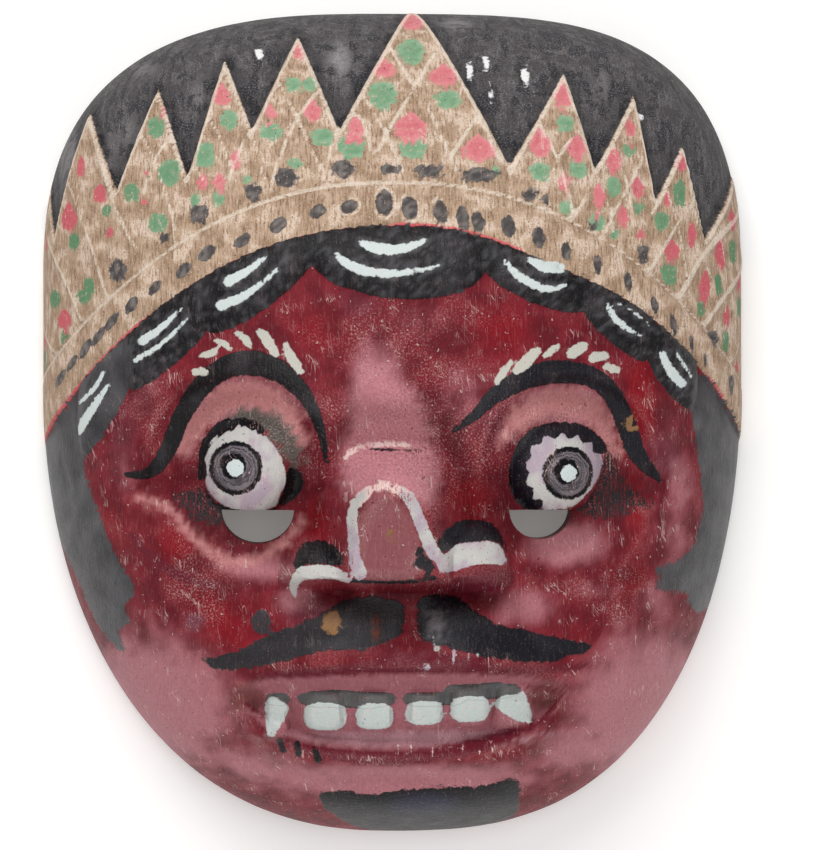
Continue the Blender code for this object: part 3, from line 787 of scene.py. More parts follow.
# The pale line over the nose's tip, and the one across its bridge
NOSE_TOP_STROKE = (
    (-11, -18, 1.1), (-9.5, -16.5, 1.1), (-7, -14.5, 0.9), (-5, -14, 0.9), (-2, -15, 0.9),
    (0.5, -16.5, 1.1),
)
NOSE_STEP = (
    (-13.5, -8.5, 0.5), (-12, -7, 0.6), (-9, -5.5, 0.6), (-5.5, -5.5, 0.6), (-1, -5, 0.6),
    (2.5, -6.5, 0.6), (4.5, -7.5, 0.4),
)
WORN_SOCKET_RIM = (
    (-59.5, -17.5, 0.6), (-53.5, -19, 0.7), (-49, -24, 0.8), (-44.5, -28.5, 0.9), (-39.5, -32, 1),
    (-33.5, -32, 1), (-27.5, -28.5, 0.9), (-22.5, -22.5, 0.7),
)
# Pale strokes on the locks of hair, then grey dabs over each brow
LOCK_HIGHLIGHTS = (
    ((-9.2, 38.6, 0.6), (-6.5, 37.3, 1.2), (-1, 37, 1), (3.5, 38.4, 0.6), (5.5, 39.6, 0.15)),
    ((-15.2, 36.6, 0.25), (-12.6, 34, 1), (-7.5, 32, 0.9), (0.5, 32, 0.6), (8, 33.6, 0.12)),
    ((27.3, 35.3, 0.5), (30.9, 33.7, 1.3), (34.6, 33.6, 1.1)),
    ((22.3, 34.8, 0.4), (24.5, 31.9, 0.75), (28.6, 29.6, 0.8), (32.5, 28.6, 0.55), (36, 30, 0.12)),
    ((44.7, 25.9, 0.35), (46.3, 22.8, 0.65), (49.4, 20.3, 0.5), (52.8, 18.9, 0.12)),
    ((46.5, 26.5, 0.15), (51.5, 24, 0.3), (55.5, 21, 0.1)),
    ((57.8, 15, 0.5), (59.4, 11.4, 0.9), (62.8, 8, 0.8)),
    ((61, 15, 0.2), (62.8, 12.4, 0.35), (65, 9.6, 0.1)),
    ((-38, 30.6, 1.1), (-34, 32.6, 0.8), (-29.5, 36.2, 0.12)),
    ((-40, 25.2, 1), (-35, 27, 0.8), (-30.5, 30.2, 0.35), (-26.5, 34, 0.1)),
    ((-57, 17.6, 0.9), (-52.8, 20.3, 0.7), (-48, 25, 0.1)),
    ((-58.6, 13.4, 0.5), (-52.5, 16.6, 0.4), (-47, 22.6, 0.1)),
    ((-71.5, 4, 0.3), (-67.5, 7, 0.45), (-65.5, 11, 0.15)),
    ((-72, -2.5, 0.9), (-68, 3, 0.8), (-64.5, 8, 0.2)),
)
BROW_DABS = (
    ((-46.3, 10.6, 0.7), (-44.8, 10.9, 0.9), (-43.6, 10.3, 0.5)),
    ((-44.9, 14.3, 0.4), (-42.6, 14.6, 0.9), (-41.2, 15.6, 0.4)),
    ((-41.6, 17.6, 0.3), (-39.8, 17, 0.7), (-38.2, 15.6, 0.4)),
    ((-37, 19.3, 0.4), (-35.4, 18.4, 0.9), (-33.8, 16.2, 0.5)),
    ((-32, 19.6, 0.6), (-30.6, 18.2, 1.3), (-28.4, 14.6, 0.8)),
    ((-26.2, 16.6, 0.5), (-25, 13.8, 1.2), (-22.8, 10.6, 0.7)),
    ((20.6, 8.2, 0.5), (22.2, 10.6, 0.9), (24, 13, 0.4)),
    ((25.2, 10.8, 0.9), (27.2, 12.8, 1.4), (29.6, 15.2, 0.9)),
    ((31.4, 14.2, 0.5), (33, 15.2, 0.8), (34.8, 16.6, 0.4)),
    ((37.6, 14.7, 1.1), (39, 15.6, 1.3), (40.4, 16.4, 1)),
    ((42.4, 13.8, 0.9), (44, 14.2, 1.1), (45.6, 14.4, 0.8)),
    ((45.4, 11.9, 0.6), (47, 11.5, 0.9), (48.6, 11.2, 0.6)),
)
# White that has run into the moustache and down to the lip
DRIPS = (
    ((8, -50, 0.4), (8, -55.5, 0.2)), ((11, -51, 0.4), (11, -54, 0.2)),
    ((14.5, -51.5, 0.4), (14.5, -54, 0.2)), ((5, -54.4, 0.8), (5, -54.6, 0.8)),
    ((6.2, -47, 0.35), (6.4, -51, 0.15)), ((16.5, -51.5, 0.25), (16.5, -54.5, 0.12)),
)
LIP_TICKS = tuple(
    ((x, -72.9, 0.2), (x + 0.3, -75.0, 0.15))
    for x in (-14, -9.2, -5.5, -4.4, -1, 2, 6.5, 9, 13.5, 17, 20, 23.5)
)
# Round and oval marks: middle X and Y, half width and half height
GOLD_CHIPS = ((-16, -45, 2, 2.9), (-3.5, -25, 0.9, 0.9), (52, -1, 1.2, 1.6))
DARK_CHIPS = ((-6.2, -45.6, 1.1, 3), (3.5, -12.5, 0.7, 0.7), (2.5, -7, 0.6, 0.6))
LOOSE_BLACK_MARKS = ((-31.5, -45, 2.1, 2.9), (-34, -20.5, 0.7, 0.5))
BLUE_BLACK = (5.5, -87.5, 7.9, 2.8)

# The crown's painting. Blobs and dabs list how far round the crown they are, how far up the mask,
# and their half width and half height
ROSE_BLOBS = (
    (-120, 18.7, 3.5, 2), (-115.3, 41.6, 3, 2), (-104.2, 55.8, 5.5, 2.8), (-96.9, 23.3, 4.7, 2.5),
    (-94.4, 46.8, 5, 3.7), (-93.6, 67.1, 3.7, 1.3), (-88.3, 58.3, 2.3, 2.8),
    (-79.2, 51.5, 3.4, 2.4), (-75.1, 42.6, 1.3, 1.4), (-63.4, 49.2, 0.9, 1.3), (-62.8, 55.6, 1, 1),
    (-57.8, 70.2, 1, 1.3), (-46.7, 53, 1.7, 2.1), (-42.5, 53.4, 1.5, 2.3), (-42.1, 73.1, 2.5, 2.9),
    (-38.4, 58.1, 1.3, 2.6), (-30, 68.9, 1.4, 2.1), (-23.3, 83.8, 1.5, 2.6),
    (-20.2, 69.1, 2.2, 2.8), (-10.3, 65.2, 2, 2.8), (-3.7, 79.6, 2.9, 2.7), (2.2, 65.5, 4, 3.6),
    (3.3, 92.5, 3.3, 3.1), (9.9, 77.9, 3.4, 3), (17.3, 60.3, 3.9, 3.5), (31.9, 61.6, 2.9, 3.8),
    (37.3, 53.2, 1.5, 2.4), (38.1, 73.3, 2.6, 3.6), (41.1, 61.1, 2.8, 3), (46.1, 50, 1.8, 3.3),
    (50.9, 58.3, 2.3, 3.3), (52.8, 45.8, 1.9, 2.7), (56.1, 66.2, 1.6, 2.8), (57.5, 52.3, 2.5, 2.7),
    (58.3, 41.8, 1.4, 1.9), (67.1, 50.2, 1.5, 2.2), (68.6, 38.5, 3.1, 2.8), (72.7, 58.8, 2.4, 2.5),
    (76.6, 42.3, 2, 3.3), (82.2, 30.7, 3, 3.8), (90.6, 38.8, 3.1, 4.2), (95.4, 24.2, 2.7, 2.7),
    (100.1, 46.7, 3.8, 2.9), (104.8, 11.9, 2.8, 2.4), (107.9, 32.7, 3.6, 3),
)
GREEN_BLOBS = (
    (-120, 13.5, 4, 3.7), (-105, 49.3, 5.2, 2.6), (-104.3, 28, 5.1, 2.3), (-96.5, 18.3, 2.7, 2.7),
    (-91.4, 41, 2.8, 2.2), (-85.9, 28.1, 3.5, 1.7), (-83.7, 30.1, 2.6, 2.5),
    (-76.3, 47.4, 2.3, 1.4), (-67.6, 51, 2.9, 2.1), (-60.1, 65.9, 2.7, 2.9),
    (-59.3, 43.8, 3.1, 2.3), (-55.7, 55.1, 3.4, 3.5), (-48.7, 48.8, 1.7, 1.5),
    (-46.2, 58.8, 2.7, 3.2), (-42.5, 49.2, 1.5, 2.6), (-40.3, 67.1, 2.3, 2.5),
    (-35.5, 53.3, 1.2, 1.3), (-30, 64.2, 2.7, 2.2), (-24.5, 75.3, 2, 2), (-24.3, 56.9, 1.9, 1.3),
    (-20.7, 75.3, 1.8, 1.9), (-18.1, 62.8, 2.7, 2.3), (-11.4, 60.6, 3.2, 3.2),
    (-4.1, 72.7, 3.4, 3.6), (2.3, 60.3, 3.2, 2.7), (2.8, 83.7, 3.2, 3.6), (10.8, 71.9, 3.3, 2.5),
    (20.8, 55.3, 1.1, 1.4), (31.4, 55.1, 2.8, 2.4), (37.7, 46.8, 1.9, 1.9), (38.2, 66.5, 2.3, 2.3),
    (41.1, 55.8, 2.3, 2.6), (45.7, 44, 2.2, 2.2), (50.6, 41.3, 1.3, 1.1), (50.6, 52.4, 2.1, 2.7),
    (55.3, 60.7, 2.2, 1.6), (57.5, 47.6, 2, 1.4), (65.3, 44.8, 2.8, 2.4), (67.6, 33, 3, 3.3),
    (72.2, 51.3, 2.6, 3.3), (80.7, 25.8, 2, 2.4), (89.6, 31.2, 2.6, 2.5), (94.6, 18.4, 2.5, 2.8),
    (100.4, 39.2, 3.5, 2.9), (105.4, 8.3, 2.8, 1.7), (109.3, 26.6, 4.4, 2.7),
    (117.3, 45, 2.8, 2.1),
)
SOOT_DABS = (
    (-72.3, 33.4, 3.4, 2.7), (-57.2, 40.6, 1.5, 1.3), (-47.6, 45.4, 2.6, 2.3),
    (-34.1, 50.1, 2.1, 2.3), (-26.2, 53.2, 2.6, 2.5), (-13.2, 55.2, 2.7, 2.2),
    (-2.9, 55.5, 2.3, 1.1), (5.9, 55, 3.5, 1.7), (17.4, 54.1, 4.7, 1.9), (29.1, 49.8, 2.2, 1.4),
    (32.6, 48.4, 0.9, 1.5), (44.3, 43.1, 1.4, 1.1), (58.9, 37.1, 1.9, 2.3), (86.9, 18.5, 2.8, 2.1),
    (97.4, 8, 2.4, 2.6),
)
WEDGE_CHIPS = (
    (16.1, 79.9, 0.7, 2.2), (20.2, 81.7, 0.7, 1.7), (29.4, 78.7, 1, 2.2), (20.7, 74.8, 0.45, 1.9),
    (-33, 84.5, 1, 1.4), (60.5, 69.5, 1.2, 0.8), (76.5, 57.5, 1.4, 1),
)
# Dots on the band: how far round the crown each one is, and how far above the band's middle.
# Those to the right of DOTS_UPRIGHT_FROM are taller than they are wide
BAND_DOTS = (
    (-98, 0), (-91, 0.2), (-84.5, 0), (-79, -0.3), (-73.7, 0), (-66.9, -0.3), (-59.6, -0.7),
    (-51.4, -1.3), (-45.2, -0.6), (-36.5, -1.8), (-28.1, -1.3), (-19.1, -0.5), (-12.1, -0.4),
    (-4.2, 0), (1.5, -1.1), (8.4, -1.6), (13.3, -2.1), (16.7, -2.2), (23.6, -1.2), (30.6, -1.3),
    (37.2, -1.6), (45.3, -1.2), (53.8, -0.9), (62, -1.7), (68.5, -2.2), (75.5, -2.3), (81.5, -2.8),
)
DOTS_UPRIGHT_FROM = -8.0
# A dot's half width at the crown's middle and its change for each millimetre to the right, then
# the same for its half height
ROUND_DOTS = ((2.1, 0.007), (1.7, 0.003))
UPRIGHT_DOTS = ((1.8, -0.015), (2.7, -0.01))
# The band turns away at the sides, where its dots are spread as if turned by up to this angle
MOST_TURNED = 1.15
# Where a red line shows along the band's low edge: from and to, across the mask
RED_EDGE_RUNS = ((-86, -56), (-3, 27), (70, 75))
RED_EDGE_HALF_WIDTH, RED_EDGE_TAPER = 0.75, 0.2

# Large soft differences in the paint: each one's middle, half size and strength. These pale places
# between the triangles are partly worn black, partly a painted highlight
WEDGE_PALE_PLACES = (
    ((-13.7, 82.5), (5.5, 9), 1), ((-100, 62), (14, 14), 0.8), ((-49, 74), (6, 9), 0.5),
    ((-70, 66), (7, 10), 0.5), ((14, 93), (7, 3.5), 0.8), ((-66, 82), (9, 5), 0.6),
    ((-77, 62), (5, 9), 0.5), ((50, 78), (4, 9), 0.5),
)
# The same for the skin, under the paint that lies there, in the order that they are laid
SKIN_PLACES = (
    (RED_DULL, (
        ((-10, 26), (9, 7), 0.5), ((22, -2), (9, 9), 0.5), ((-63, -4), (7, 12), 0.5),
        ((-22, 2), (7, 12), 0.4), ((60, -8), (9, 12), 0.6), ((-20, -43), (12, 6), 0.7),
    )),
    (RED_BRIGHT, (
        ((-51, -28.5), (8, 9), 0.8), ((-19, -22.5), (5, 10), 0.9), ((54, 6), (7, 16), 1),
        ((52.5, -20), (5, 14), 0.7), ((15, -18), (8, 9), 1), ((-40, -46), (17, 13), 0.7),
        ((41, -52), (15, 12), 0.5), ((22, 19), (14, 12), 0.8), ((-20, 20), (12, 10), 0.6),
        ((-66, -20), (7, 24), 0.4), ((-29, 12), (24, 10), 0.4), ((0, -54.5), (44, 4), 0.6),
        ((0, -75.5), (33, 3.5), 0.8), ((51, -35.5), (10, 6), 1),
    )),
    # Dusty pink between the eyes, over the sockets and under them: partly worn paint, partly a
    # painted sheen where these parts face the light
    (DUSTY_RED_AND_SHEEN, (
        ((-6, 4), (10, 20), 1.3), ((3, 22), (13, 9), 0.25), ((-36, 4), (17, 9), 1.1),
        ((36, 3), (17, 8), 1.2), ((-31, -33), (17, 5.5), 0.8), ((37, -28), (15, 8), 1.2),
        ((-63, -13), (7, 10), 0.4), ((-58, 6), (9, 12), 0.3), ((64, -14), (6, 10), 0.6),
        ((58, -41), (9, 8), 0.5),
    )),
    (RED_DEEP, (((50, -35), (9, 5), 0.9), ((-47, -32.5), (7, 4), 0.9))),
    # Pink between the eyes and over the right socket: partly paint, partly a painted sheen
    (SKIN_PINK, (((-6, 6), (7, 12), 0.9), ((35, 1), (13, 5), 0.5))),
    (RED_DULL, (((-46.6, -45.3), (4, 4), 1),)),
    # Dusty pink on the jaws, the chin and round the mouth: partly worn paint, partly a painted
    # reflection of the pale surroundings
    (DUSTY_RED_AND_SHEEN, (
        ((-24, -40), (7, 5), 0.9), ((-56, -66), (30, 28), 1.3), ((56, -66), (28, 28), 1.4),
        ((0, -82), (52, 9), 1.2), ((0, -60), (34, 4), 0.5), ((27, -42), (13, 7), 0.7),
        ((63, -26), (11, 22), 0.4), ((14, 4), (12, 14), 0.4), ((-33, -79), (16, 8), 0.9),
        ((40, -76), (16, 9), 0.9), ((45, -38), (10, 4), 0.4),
    )),
)
FLECKED_PLACES = (
    ((2, -3), (34, 25), 1), ((0, 20), (45, 14), 0.6), ((36, -6), (26, 22), 0.9),
    ((-36, -6), (26, 24), 0.9), ((-45, -36), (20, 18), 0.7), ((48, -38), (18, 18), 0.6),
    ((0, -77), (34, 9), 0.2), ((-58, 4), (10, 14), 0.7),
)
# Where the nose's white strokes are worn thin, at the top of their arch
WORN_ARCH = ((-2.0, -16.5), (8.0, 4.0), 0.3)

# The face is laid out flat for the brush marks: how far up or down each Y is, and the height of
# the steep walls, down which the marks run on
FACE_SPREAD, FACE_REACH = 98.0, 99.0
WALL_HEIGHT = 24.0
CLOUD_SIZE, WOBBLE_SIZE = 7.0, 1.6
# Fractal noise: how fast its octaves weaken, how much finer each one is, and how many there are
CLOUD_OCTAVES = (0.8, 2.0, 3)

# How far past its edge a shape still has its own paint, for the shader to break up, and how soft
# the shader makes that edge
PAINT_MARGIN = 0.4
EDGE_SOFTNESS = 0.2
# How square blocks and blobs are: 2 would make them oval
BLOCK_SQUARENESS, BLOB_SQUARENESS = 3.2, 2.4


def rounded(points, closed):
    """A line of points with its corners cut twice, so that it runs in a soft curve."""
    points = np.array(points, dtype=float)
    for _ in range(2):
        here = points if closed else points[:-1]
        following = np.roll(points, -1, axis=0) if closed else points[1:]
        cut = np.stack([0.75 * here + 0.25 * following, 0.25 * here + 0.75 * following], axis=1)
        cut = cut.reshape(-1, points.shape[1])
        points = cut if closed else np.concatenate([points[:1], cut, points[-1:]])
    return points


def near_points(x, y, points, margin):
    low, high = points[:, :2].min(axis=0) - margin, points[:, :2].max(axis=0) + margin
    return (x > low[0]) & (x < high[0]) & (y > low[1]) & (y < high[1])


def within_outline(x, y, outline):
    """How far inside a painted outline each place is, negative outside it."""
    points = rounded(outline, closed=True)
    result = np.full_like(x, -FAR)
    near = near_points(x, y, points, FAR)
    at_x, at_y = x[near], y[near]
    distance = distance_to_path(at_x, at_y, np.concatenate([points, points[:1]]))
    inside = np.zeros(len(at_x), dtype=bool)
    for (start_x, start_y), (end_x, end_y) in zip(points, np.roll(points, -1, axis=0)):
        if start_y != end_y:
            passes = (start_y > at_y) != (end_y > at_y)
            crossing = start_x + (at_y - start_y) / (end_y - start_y) * (end_x - start_x)
            inside ^= passes & (at_x < crossing)
    result[near] = np.where(inside, distance, -distance)
    return np.clip(result, -FAR, FAR)


def within_oval(x, y, oval):
    middle_x, middle_y, half_width, half_height = oval
    reach = np.hypot((x - middle_x) / half_width, (y - middle_y) / half_height)
    return np.clip((1.0 - reach) * min(half_width, half_height), -FAR, FAR)


def within_block(x, y, block):
    """How far inside a block with soft corners each place is: left, right, top and bottom."""
    left, right, top, bottom = block
    across = np.abs(2.0 * x - left - right) / (right - left)
    up = np.abs(2.0 * y - top - bottom) / (top - bottom)
    reach = (across**BLOCK_SQUARENESS + up**BLOCK_SQUARENESS) ** (1.0 / BLOCK_SQUARENESS)
    return np.clip((1.0 - reach) * (right - left) / 2.0, -FAR, FAR)


def stroke_fields(x, y, strokes):
    """The nearest of some brush strokes: how far inside it, which side of its middle, its width."""
    inside = np.full_like(x, -FAR)
    side = np.full_like(x, FAR)
    half = np.zeros_like(x)
    for stroke in strokes:
        points = rounded(stroke, closed=False)
        near = near_points(x, y, points, FAR + 1.0)
        at_x, at_y = x[near], y[near]
        best, best_side, best_half = inside[near], side[near], half[near]
        for (from_x, from_y, from_half), (to_x, to_y, to_half) in zip(points, points[1:]):
            run_x, run_y = to_x - from_x, to_y - from_y
            length = np.hypot(run_x, run_y)
            off_x, off_y = at_x - from_x, at_y - from_y
            t = np.clip((off_x * run_x + off_y * run_y) / length**2, 0.0, 1.0)
            width = from_half + t * (to_half - from_half)
            found = width - np.hypot(off_x - t * run_x, off_y - t * run_y)
            better = found > best
            best = np.where(better, found, best)
            best_side = np.where(better, (off_y * run_x - off_x * run_y) / length, best_side)
            best_half = np.where(better, width, best_half)
        inside[near], side[near], half[near] = best, best_side, best_half
    return inside, np.clip(side, -FAR, FAR), half


def within_strokes(x, y, strokes):
    return stroke_fields(x, y, strokes)[0]


def together(fields):
    return np.maximum.reduce(list(fields))


def pointed_blobs(round_x, y, blobs, taper, teeth=0.0):
    """How far inside a set of brushed blobs each place is: tapered upwards and jagged below."""
    inside = np.full_like(y, -FAR)
    for middle_u, middle_y, half_width, half_height in blobs:
        across, up = round_x - middle_u, (y - middle_y) / half_height
        jagged = np.abs((across / 1.3 + middle_y) % 1.0 - 0.5) * teeth * (up < 0.0)
        width = half_width * np.clip(1.0 - taper * up, 0.1, 1.1)
        reach = np.abs(across / width) ** BLOB_SQUARENESS + np.abs(up) ** BLOB_SQUARENESS
        reach = reach ** (1.0 / BLOB_SQUARENESS) + jagged
        inside = np.maximum(inside, (1.0 - reach) * min(half_width, half_height))
    return np.clip(inside, -FAR, FAR)


def swells(x, y, places):
    """A sum of soft rises, at most 1."""
    return np.minimum(sum(mound(x, y, *place) for place in places), 1.0)


def clouds(x, y, size):
    """Soft clouds about one size across, from 0 to 1."""
    places = np.stack([x.reshape(-1), y.reshape(-1), np.full(x.size, size)], axis=1) / size
    values = [noise.fractal(place, *CLOUD_OCTAVES) for place in places.tolist()]
    return np.clip(0.5 + 0.5 * np.array(values).reshape(x.shape), 0.0, 1.0)


def mixed(share, under, over):
    """One paint over another, by a share for each place."""
    under, over = np.array(under)[..., :3], np.array(over)[..., :3]
    return under + share[..., None] * (over - under)


class Face:
    """Every place on the face: where it is, what it is near, and the clouds laid over it."""

    def __init__(self, x, y):
        self.x, self.y = x, y
        self.round_x = round_crown(x)
        self.up = FACE_SPREAD * np.arcsin(np.clip(y / FACE_REACH, -1.0, 1.0))
        self.low, self.top = band_foot(x), band_edge(x, BAND_TOP)
        self.cloud = clouds(self.round_x, self.up, CLOUD_SIZE)
        self.wobble = clouds(self.round_x, self.up, WOBBLE_SIZE)

    def outlines(self, *shapes):
        return together(within_outline(self.x, self.y, shape) for shape in shapes)

    def ovals(self, *shapes):
        return together(within_oval(self.x, self.y, shape) for shape in shapes)

    def blocks(self, *shapes):
        return together(within_block(self.x, self.y, shape) for shape in shapes)

    def strokes(self, *strokes):
        return within_strokes(self.x, self.y, strokes)

    def crown_blobs(self, blobs, taper=0.0, teeth=0.0):
        return pointed_blobs(self.round_x, self.y, blobs, taper, teeth)


class Layer:
    """Shapes painted side by side: how far inside one each place is, its paint and dryness."""

    def __init__(self, face):
        self.wobble = face.wobble
        self.inside = np.full_like(face.x, -FAR)
        self.dry = np.zeros_like(face.x)
        self.paint = np.zeros((*face.x.shape, 3))

    def add(self, inside, paint, dry=0.0, soft=EDGE_SOFTNESS, ragged=0.0):
        """One more shape, over those before it, with an edge that soft and that uneven."""
        inside = (inside + (self.wobble - 0.5) * ragged) * EDGE_SOFTNESS / soft
        takes = (inside > self.inside) | (inside > -PAINT_MARGIN)
        self.dry = np.where(takes, dry, self.dry)
        self.paint = np.where(takes[..., None], np.array(paint)[..., :3], self.paint)
        self.inside = np.clip(np.maximum(inside, self.inside), -FAR, FAR)

    def add_all(self, *coats):
        """Several shapes, each with its paint, dryness, softness and raggedness in that order."""
        for coat in coats:
            self.add(*coat)
        return self

    def fields(self, name):
        return {name: self.inside, f"{name}_paint": self.paint, f"{name}_dry": self.dry}


def crown_dots(face):
    """The dark dots along the band, each a little uneven, and spread where the band turns away."""
    middle = (face.low + face.top) / 2.0
    dots = np.full_like(face.y, -FAR)
    for number, (place, lift) in enumerate(BAND_DOTS):
        sizes = UPRIGHT_DOTS if place > DOTS_UPRIGHT_FROM else ROUND_DOTS
        (wide, wider), (tall, taller) = sizes
        turned = min(abs(place) / CROWN_SPREAD, MOST_TURNED)
        wide = (wide + wider * place + 0.15 * math.sin(5.0 * number)) / math.cos(turned)
        tall += taller * place + 0.2 * math.sin(4.0 * number)
        above = face.y - middle - lift
        across = face.round_x - place - 0.12 * math.sin(7.0 * number) * above
        reach = np.hypot(across / wide, above / tall)
        dots = np.maximum(dots, (1.0 - reach) * min(wide, tall))
    return np.clip(dots, -FAR, FAR)


def red_edge(face):
    """How far inside the red line on the band's low edge each place is."""
    inside = np.full_like(face.y, -FAR)
    within = RED_EDGE_HALF_WIDTH - np.abs(face.y - face.low + 0.1)
    for start, end in RED_EDGE_RUNS:
        from_end = RED_EDGE_TAPER * np.minimum(face.x - start, end - face.x)
        inside = np.maximum(inside, np.minimum(within, from_end))
    return np.clip(inside, -FAR, FAR)


def painted_eyes(face):
    """How far inside the whites of the eyes each place is, and inside the black round them."""
    whites, lashes = [], []
    wide, narrow = LOBE_FADE
    for outline, (centre, count, first, last, depth) in zip(EYE_WHITES, EYE_LOBES):
        white = face.outlines(outline)
        angle = np.degrees(np.arctan2(face.y - centre[1], face.x - centre[0])) % 360.0
        span = ease(first - wide, first + narrow, angle) * ease(last + wide, last - narrow, angle)
        lobes = np.abs(np.sin(np.radians(angle) * count / 2.0))
        whites.append(white - depth * span * lobes)
        lashes.append(np.minimum(depth + 0.4 - np.abs(white), 2.0 * span - 1.0))
    return together(whites), together(lashes)


def skin_paint(face):
    """The red of the face, with all that lies softly in it, painted sheen and shade among it."""
    paint = mixed(ease(0.25, 0.7, face.cloud), RED_DEEP, RED)
    for over, places in SKIN_PLACES:
        for place in places:
            share = mound(face.x, face.y, *place)
            share += 0.5 * (face.cloud - 0.5) * np.minimum(4.0 * share, 1.0)
            paint = mixed(0.9 * ease(0.05, 0.95, share), paint, over)
    mouth_top, mouth_low = mouth_edges(face.x)
    mouth = np.minimum(mouth_top - face.y, face.y - mouth_low)
    for inside, ragged, soft, over in (
        # Pale socket tops: partly worn paint, partly a painted sheen
        (face.outlines(*SOCKET_TOPS), 4.0, 1.8, PALE_RED),
        (face.strokes(WORN_SOCKET_RIM), 2.5, 1.2, PALE_RED),
        (face.outlines(*EYE_SMEARS), 3.5, 1.0, SMEAR_GREY),
        # Pink bridge of the nose: partly paint, partly a painted sheen
        (face.outlines(NOSE_BRIDGE), 3.0, 2.6, SKIN_PINK),
        (face.outlines(NOSE_FACET), 1.0, 0.6, MAUVE),
        (mouth, 0.6, 0.5, GUM),
        # Painted shade in the mouth's corners and below the teeth
        (face.ovals(*MOUTH_PAINTED_SHADES), 2.0, 1.2, GUM_IN_PAINTED_SHADE),
        # The pale lip band: partly a painted highlight
        (face.ovals(PALE_LIP), 1.5, 1.0, LIP_PALE),
        # Lip red on the lips, and as painted shade under the nose's right wing
        (face.outlines(LOWER_LIP, UPPER_LIP, NOSE_UNDERSIDE), 1.0, 0.5, LIP_RED),
        (face.strokes(*CRIMSON_LINES), 0.8, 0.4, LIP_RED),
    ):
        share = ease(-soft, soft, inside + (face.wobble - 0.5) * ragged)
        paint = mixed(share, paint, over)
    return paint


def cream_lines(face, dots):
    """Thin cream lines: the lattice, the triangles' edges, the band's top and round some dots."""
    above = face.y - face.top
    _, side, half_width = stroke_fields(face.round_x, face.y, LATTICE)
    lattice = np.minimum(half_width - np.abs(side) + 0.1, above)
    lattice -= 0.3 * ease(0.5, 0.25, face.cloud)
    within = inside_triangles(face.x, face.y)
    edges = np.minimum(0.5 - np.abs(0.7 - within), above)
    rings = 0.3 - np.abs(dots + 0.35) - ease(10.0, 24.0, np.abs(face.x + 3.0))
    return together((lattice, edges, 0.5 - np.abs(above), rings))


def blob_layer(face):
    """Green and rose blobs on the triangles, thick at their middles, and the band's red edge."""
    layer = Layer(face)
    paler = 0.6 * ease(80.0, 30.0, np.abs(face.x))
    above_band = face.y - face.top - 0.8
    for shapes, taper, thick, thin in (
        (GREEN_BLOBS, 0.1, GREEN, GREEN_PALE), (ROSE_BLOBS, 0.75, ROSE, ROSE_PALE),
    ):
        inside = np.minimum(face.crown_blobs(shapes, taper, 0.6), above_band)
        paint = mixed(paler, thick, thin)
        paint = mixed(0.45 * ease(0.45, 0.7, face.wobble), paint, thick)
        paint = mixed(0.4 * ease(0.3, 1.6, inside), paint, thick)
        layer.add(inside, paint, 0.3, 0.4, 1.2)
    layer.add(red_edge(face), EDGE_RED, 0.3)
    return layer


def dark_layer(face, highlights, lashes, dots):
    """All that is black or grey: hair, sideburns, moustache, chin, brows, lashes, soot and dots."""
    x, y, cloud, wobble = face.x, face.y, face.cloud, face.wobble
    hair_low, _ = hair_shape(x)
    hair = np.clip(np.minimum(y - hair_low, face.low - y), -FAR, FAR)
    black = mixed(0.6 * ease(0.5, 0.8, cloud), BLACK, BLACK_WORN)
    sheen = ease(-1.6, 0.0, highlights) * ease(0.35, 0.65, wobble)
    streaked = np.maximum(0.5 * sheen, 0.3 * ease(0.5, 0.8, wobble))
    blue = mixed(0.6 * ease(-20.0, 10.0, x), black, BLUE_BLACK_PAINT)
    moustache = mixed(0.6 * ease(10.0, -10.0, x), blue, BLACK_WORN)
    shine = ease(-1.5, 1.5, face.outlines(MOUSTACHE_SHEEN)) * ease(0.3, 0.6, wobble)
    soot = mixed(ease(0.4, 0.75, wobble), SOOT, SOOT_GREY)
    lash_dry = 0.3 * ease(-44.0, -36.0, x) * ease(0.0, -20.0, x) + 0.05

    return Layer(face).add_all(
        (hair, mixed(streaked, black, BLACK_SHEEN), 0.0, 0.2, 0.8),
        (np.minimum(face.outlines(*SIDEBURNS), face.low - y),
         mixed(0.5 * cloud, CHIN_GREY, BLACK_SHEEN), 0.15, 0.5, 1.6),
        (face.outlines(*MOUSTACHE), mixed(0.8 * shine, moustache, BLACK_SHEEN), 0.15, 0.3, 1.2),
        (face.outlines(CHIN_PATCH),
         mixed(ease(-1.2, 1.5, face.ovals(BLUE_BLACK)), BLACK, BLUE_INK), 0.15, 0.4, 1.4),
        (face.outlines(*SMEARS), CHIN_GREY, 0.5, 0.9, 2.5),
        (face.strokes(*BROWS, *FINE_LINES), blue, 0.05),
        (face.outlines(*NOSE_WING_BLACK, *EYE_BLACK), blue, 0.05, 0.25, 0.7),
        (lashes, blue, lash_dry),
        (face.ovals(*LOOSE_BLACK_MARKS), BLACK_WORN, 0.3, 0.3, 1.0),
        (face.blocks(*TOOTH_SHADES), TOOTH_SHADE, 0.1, 0.25, 0.6),
        (face.crown_blobs(SOOT_DABS, teeth=0.7), soot, 0.25, 0.35, 1.6),
        (dots, mixed(0.5 * ease(0.5, 0.75, wobble), soot, SOOT_GREY), 0.15, 0.2, 0.5),
    )


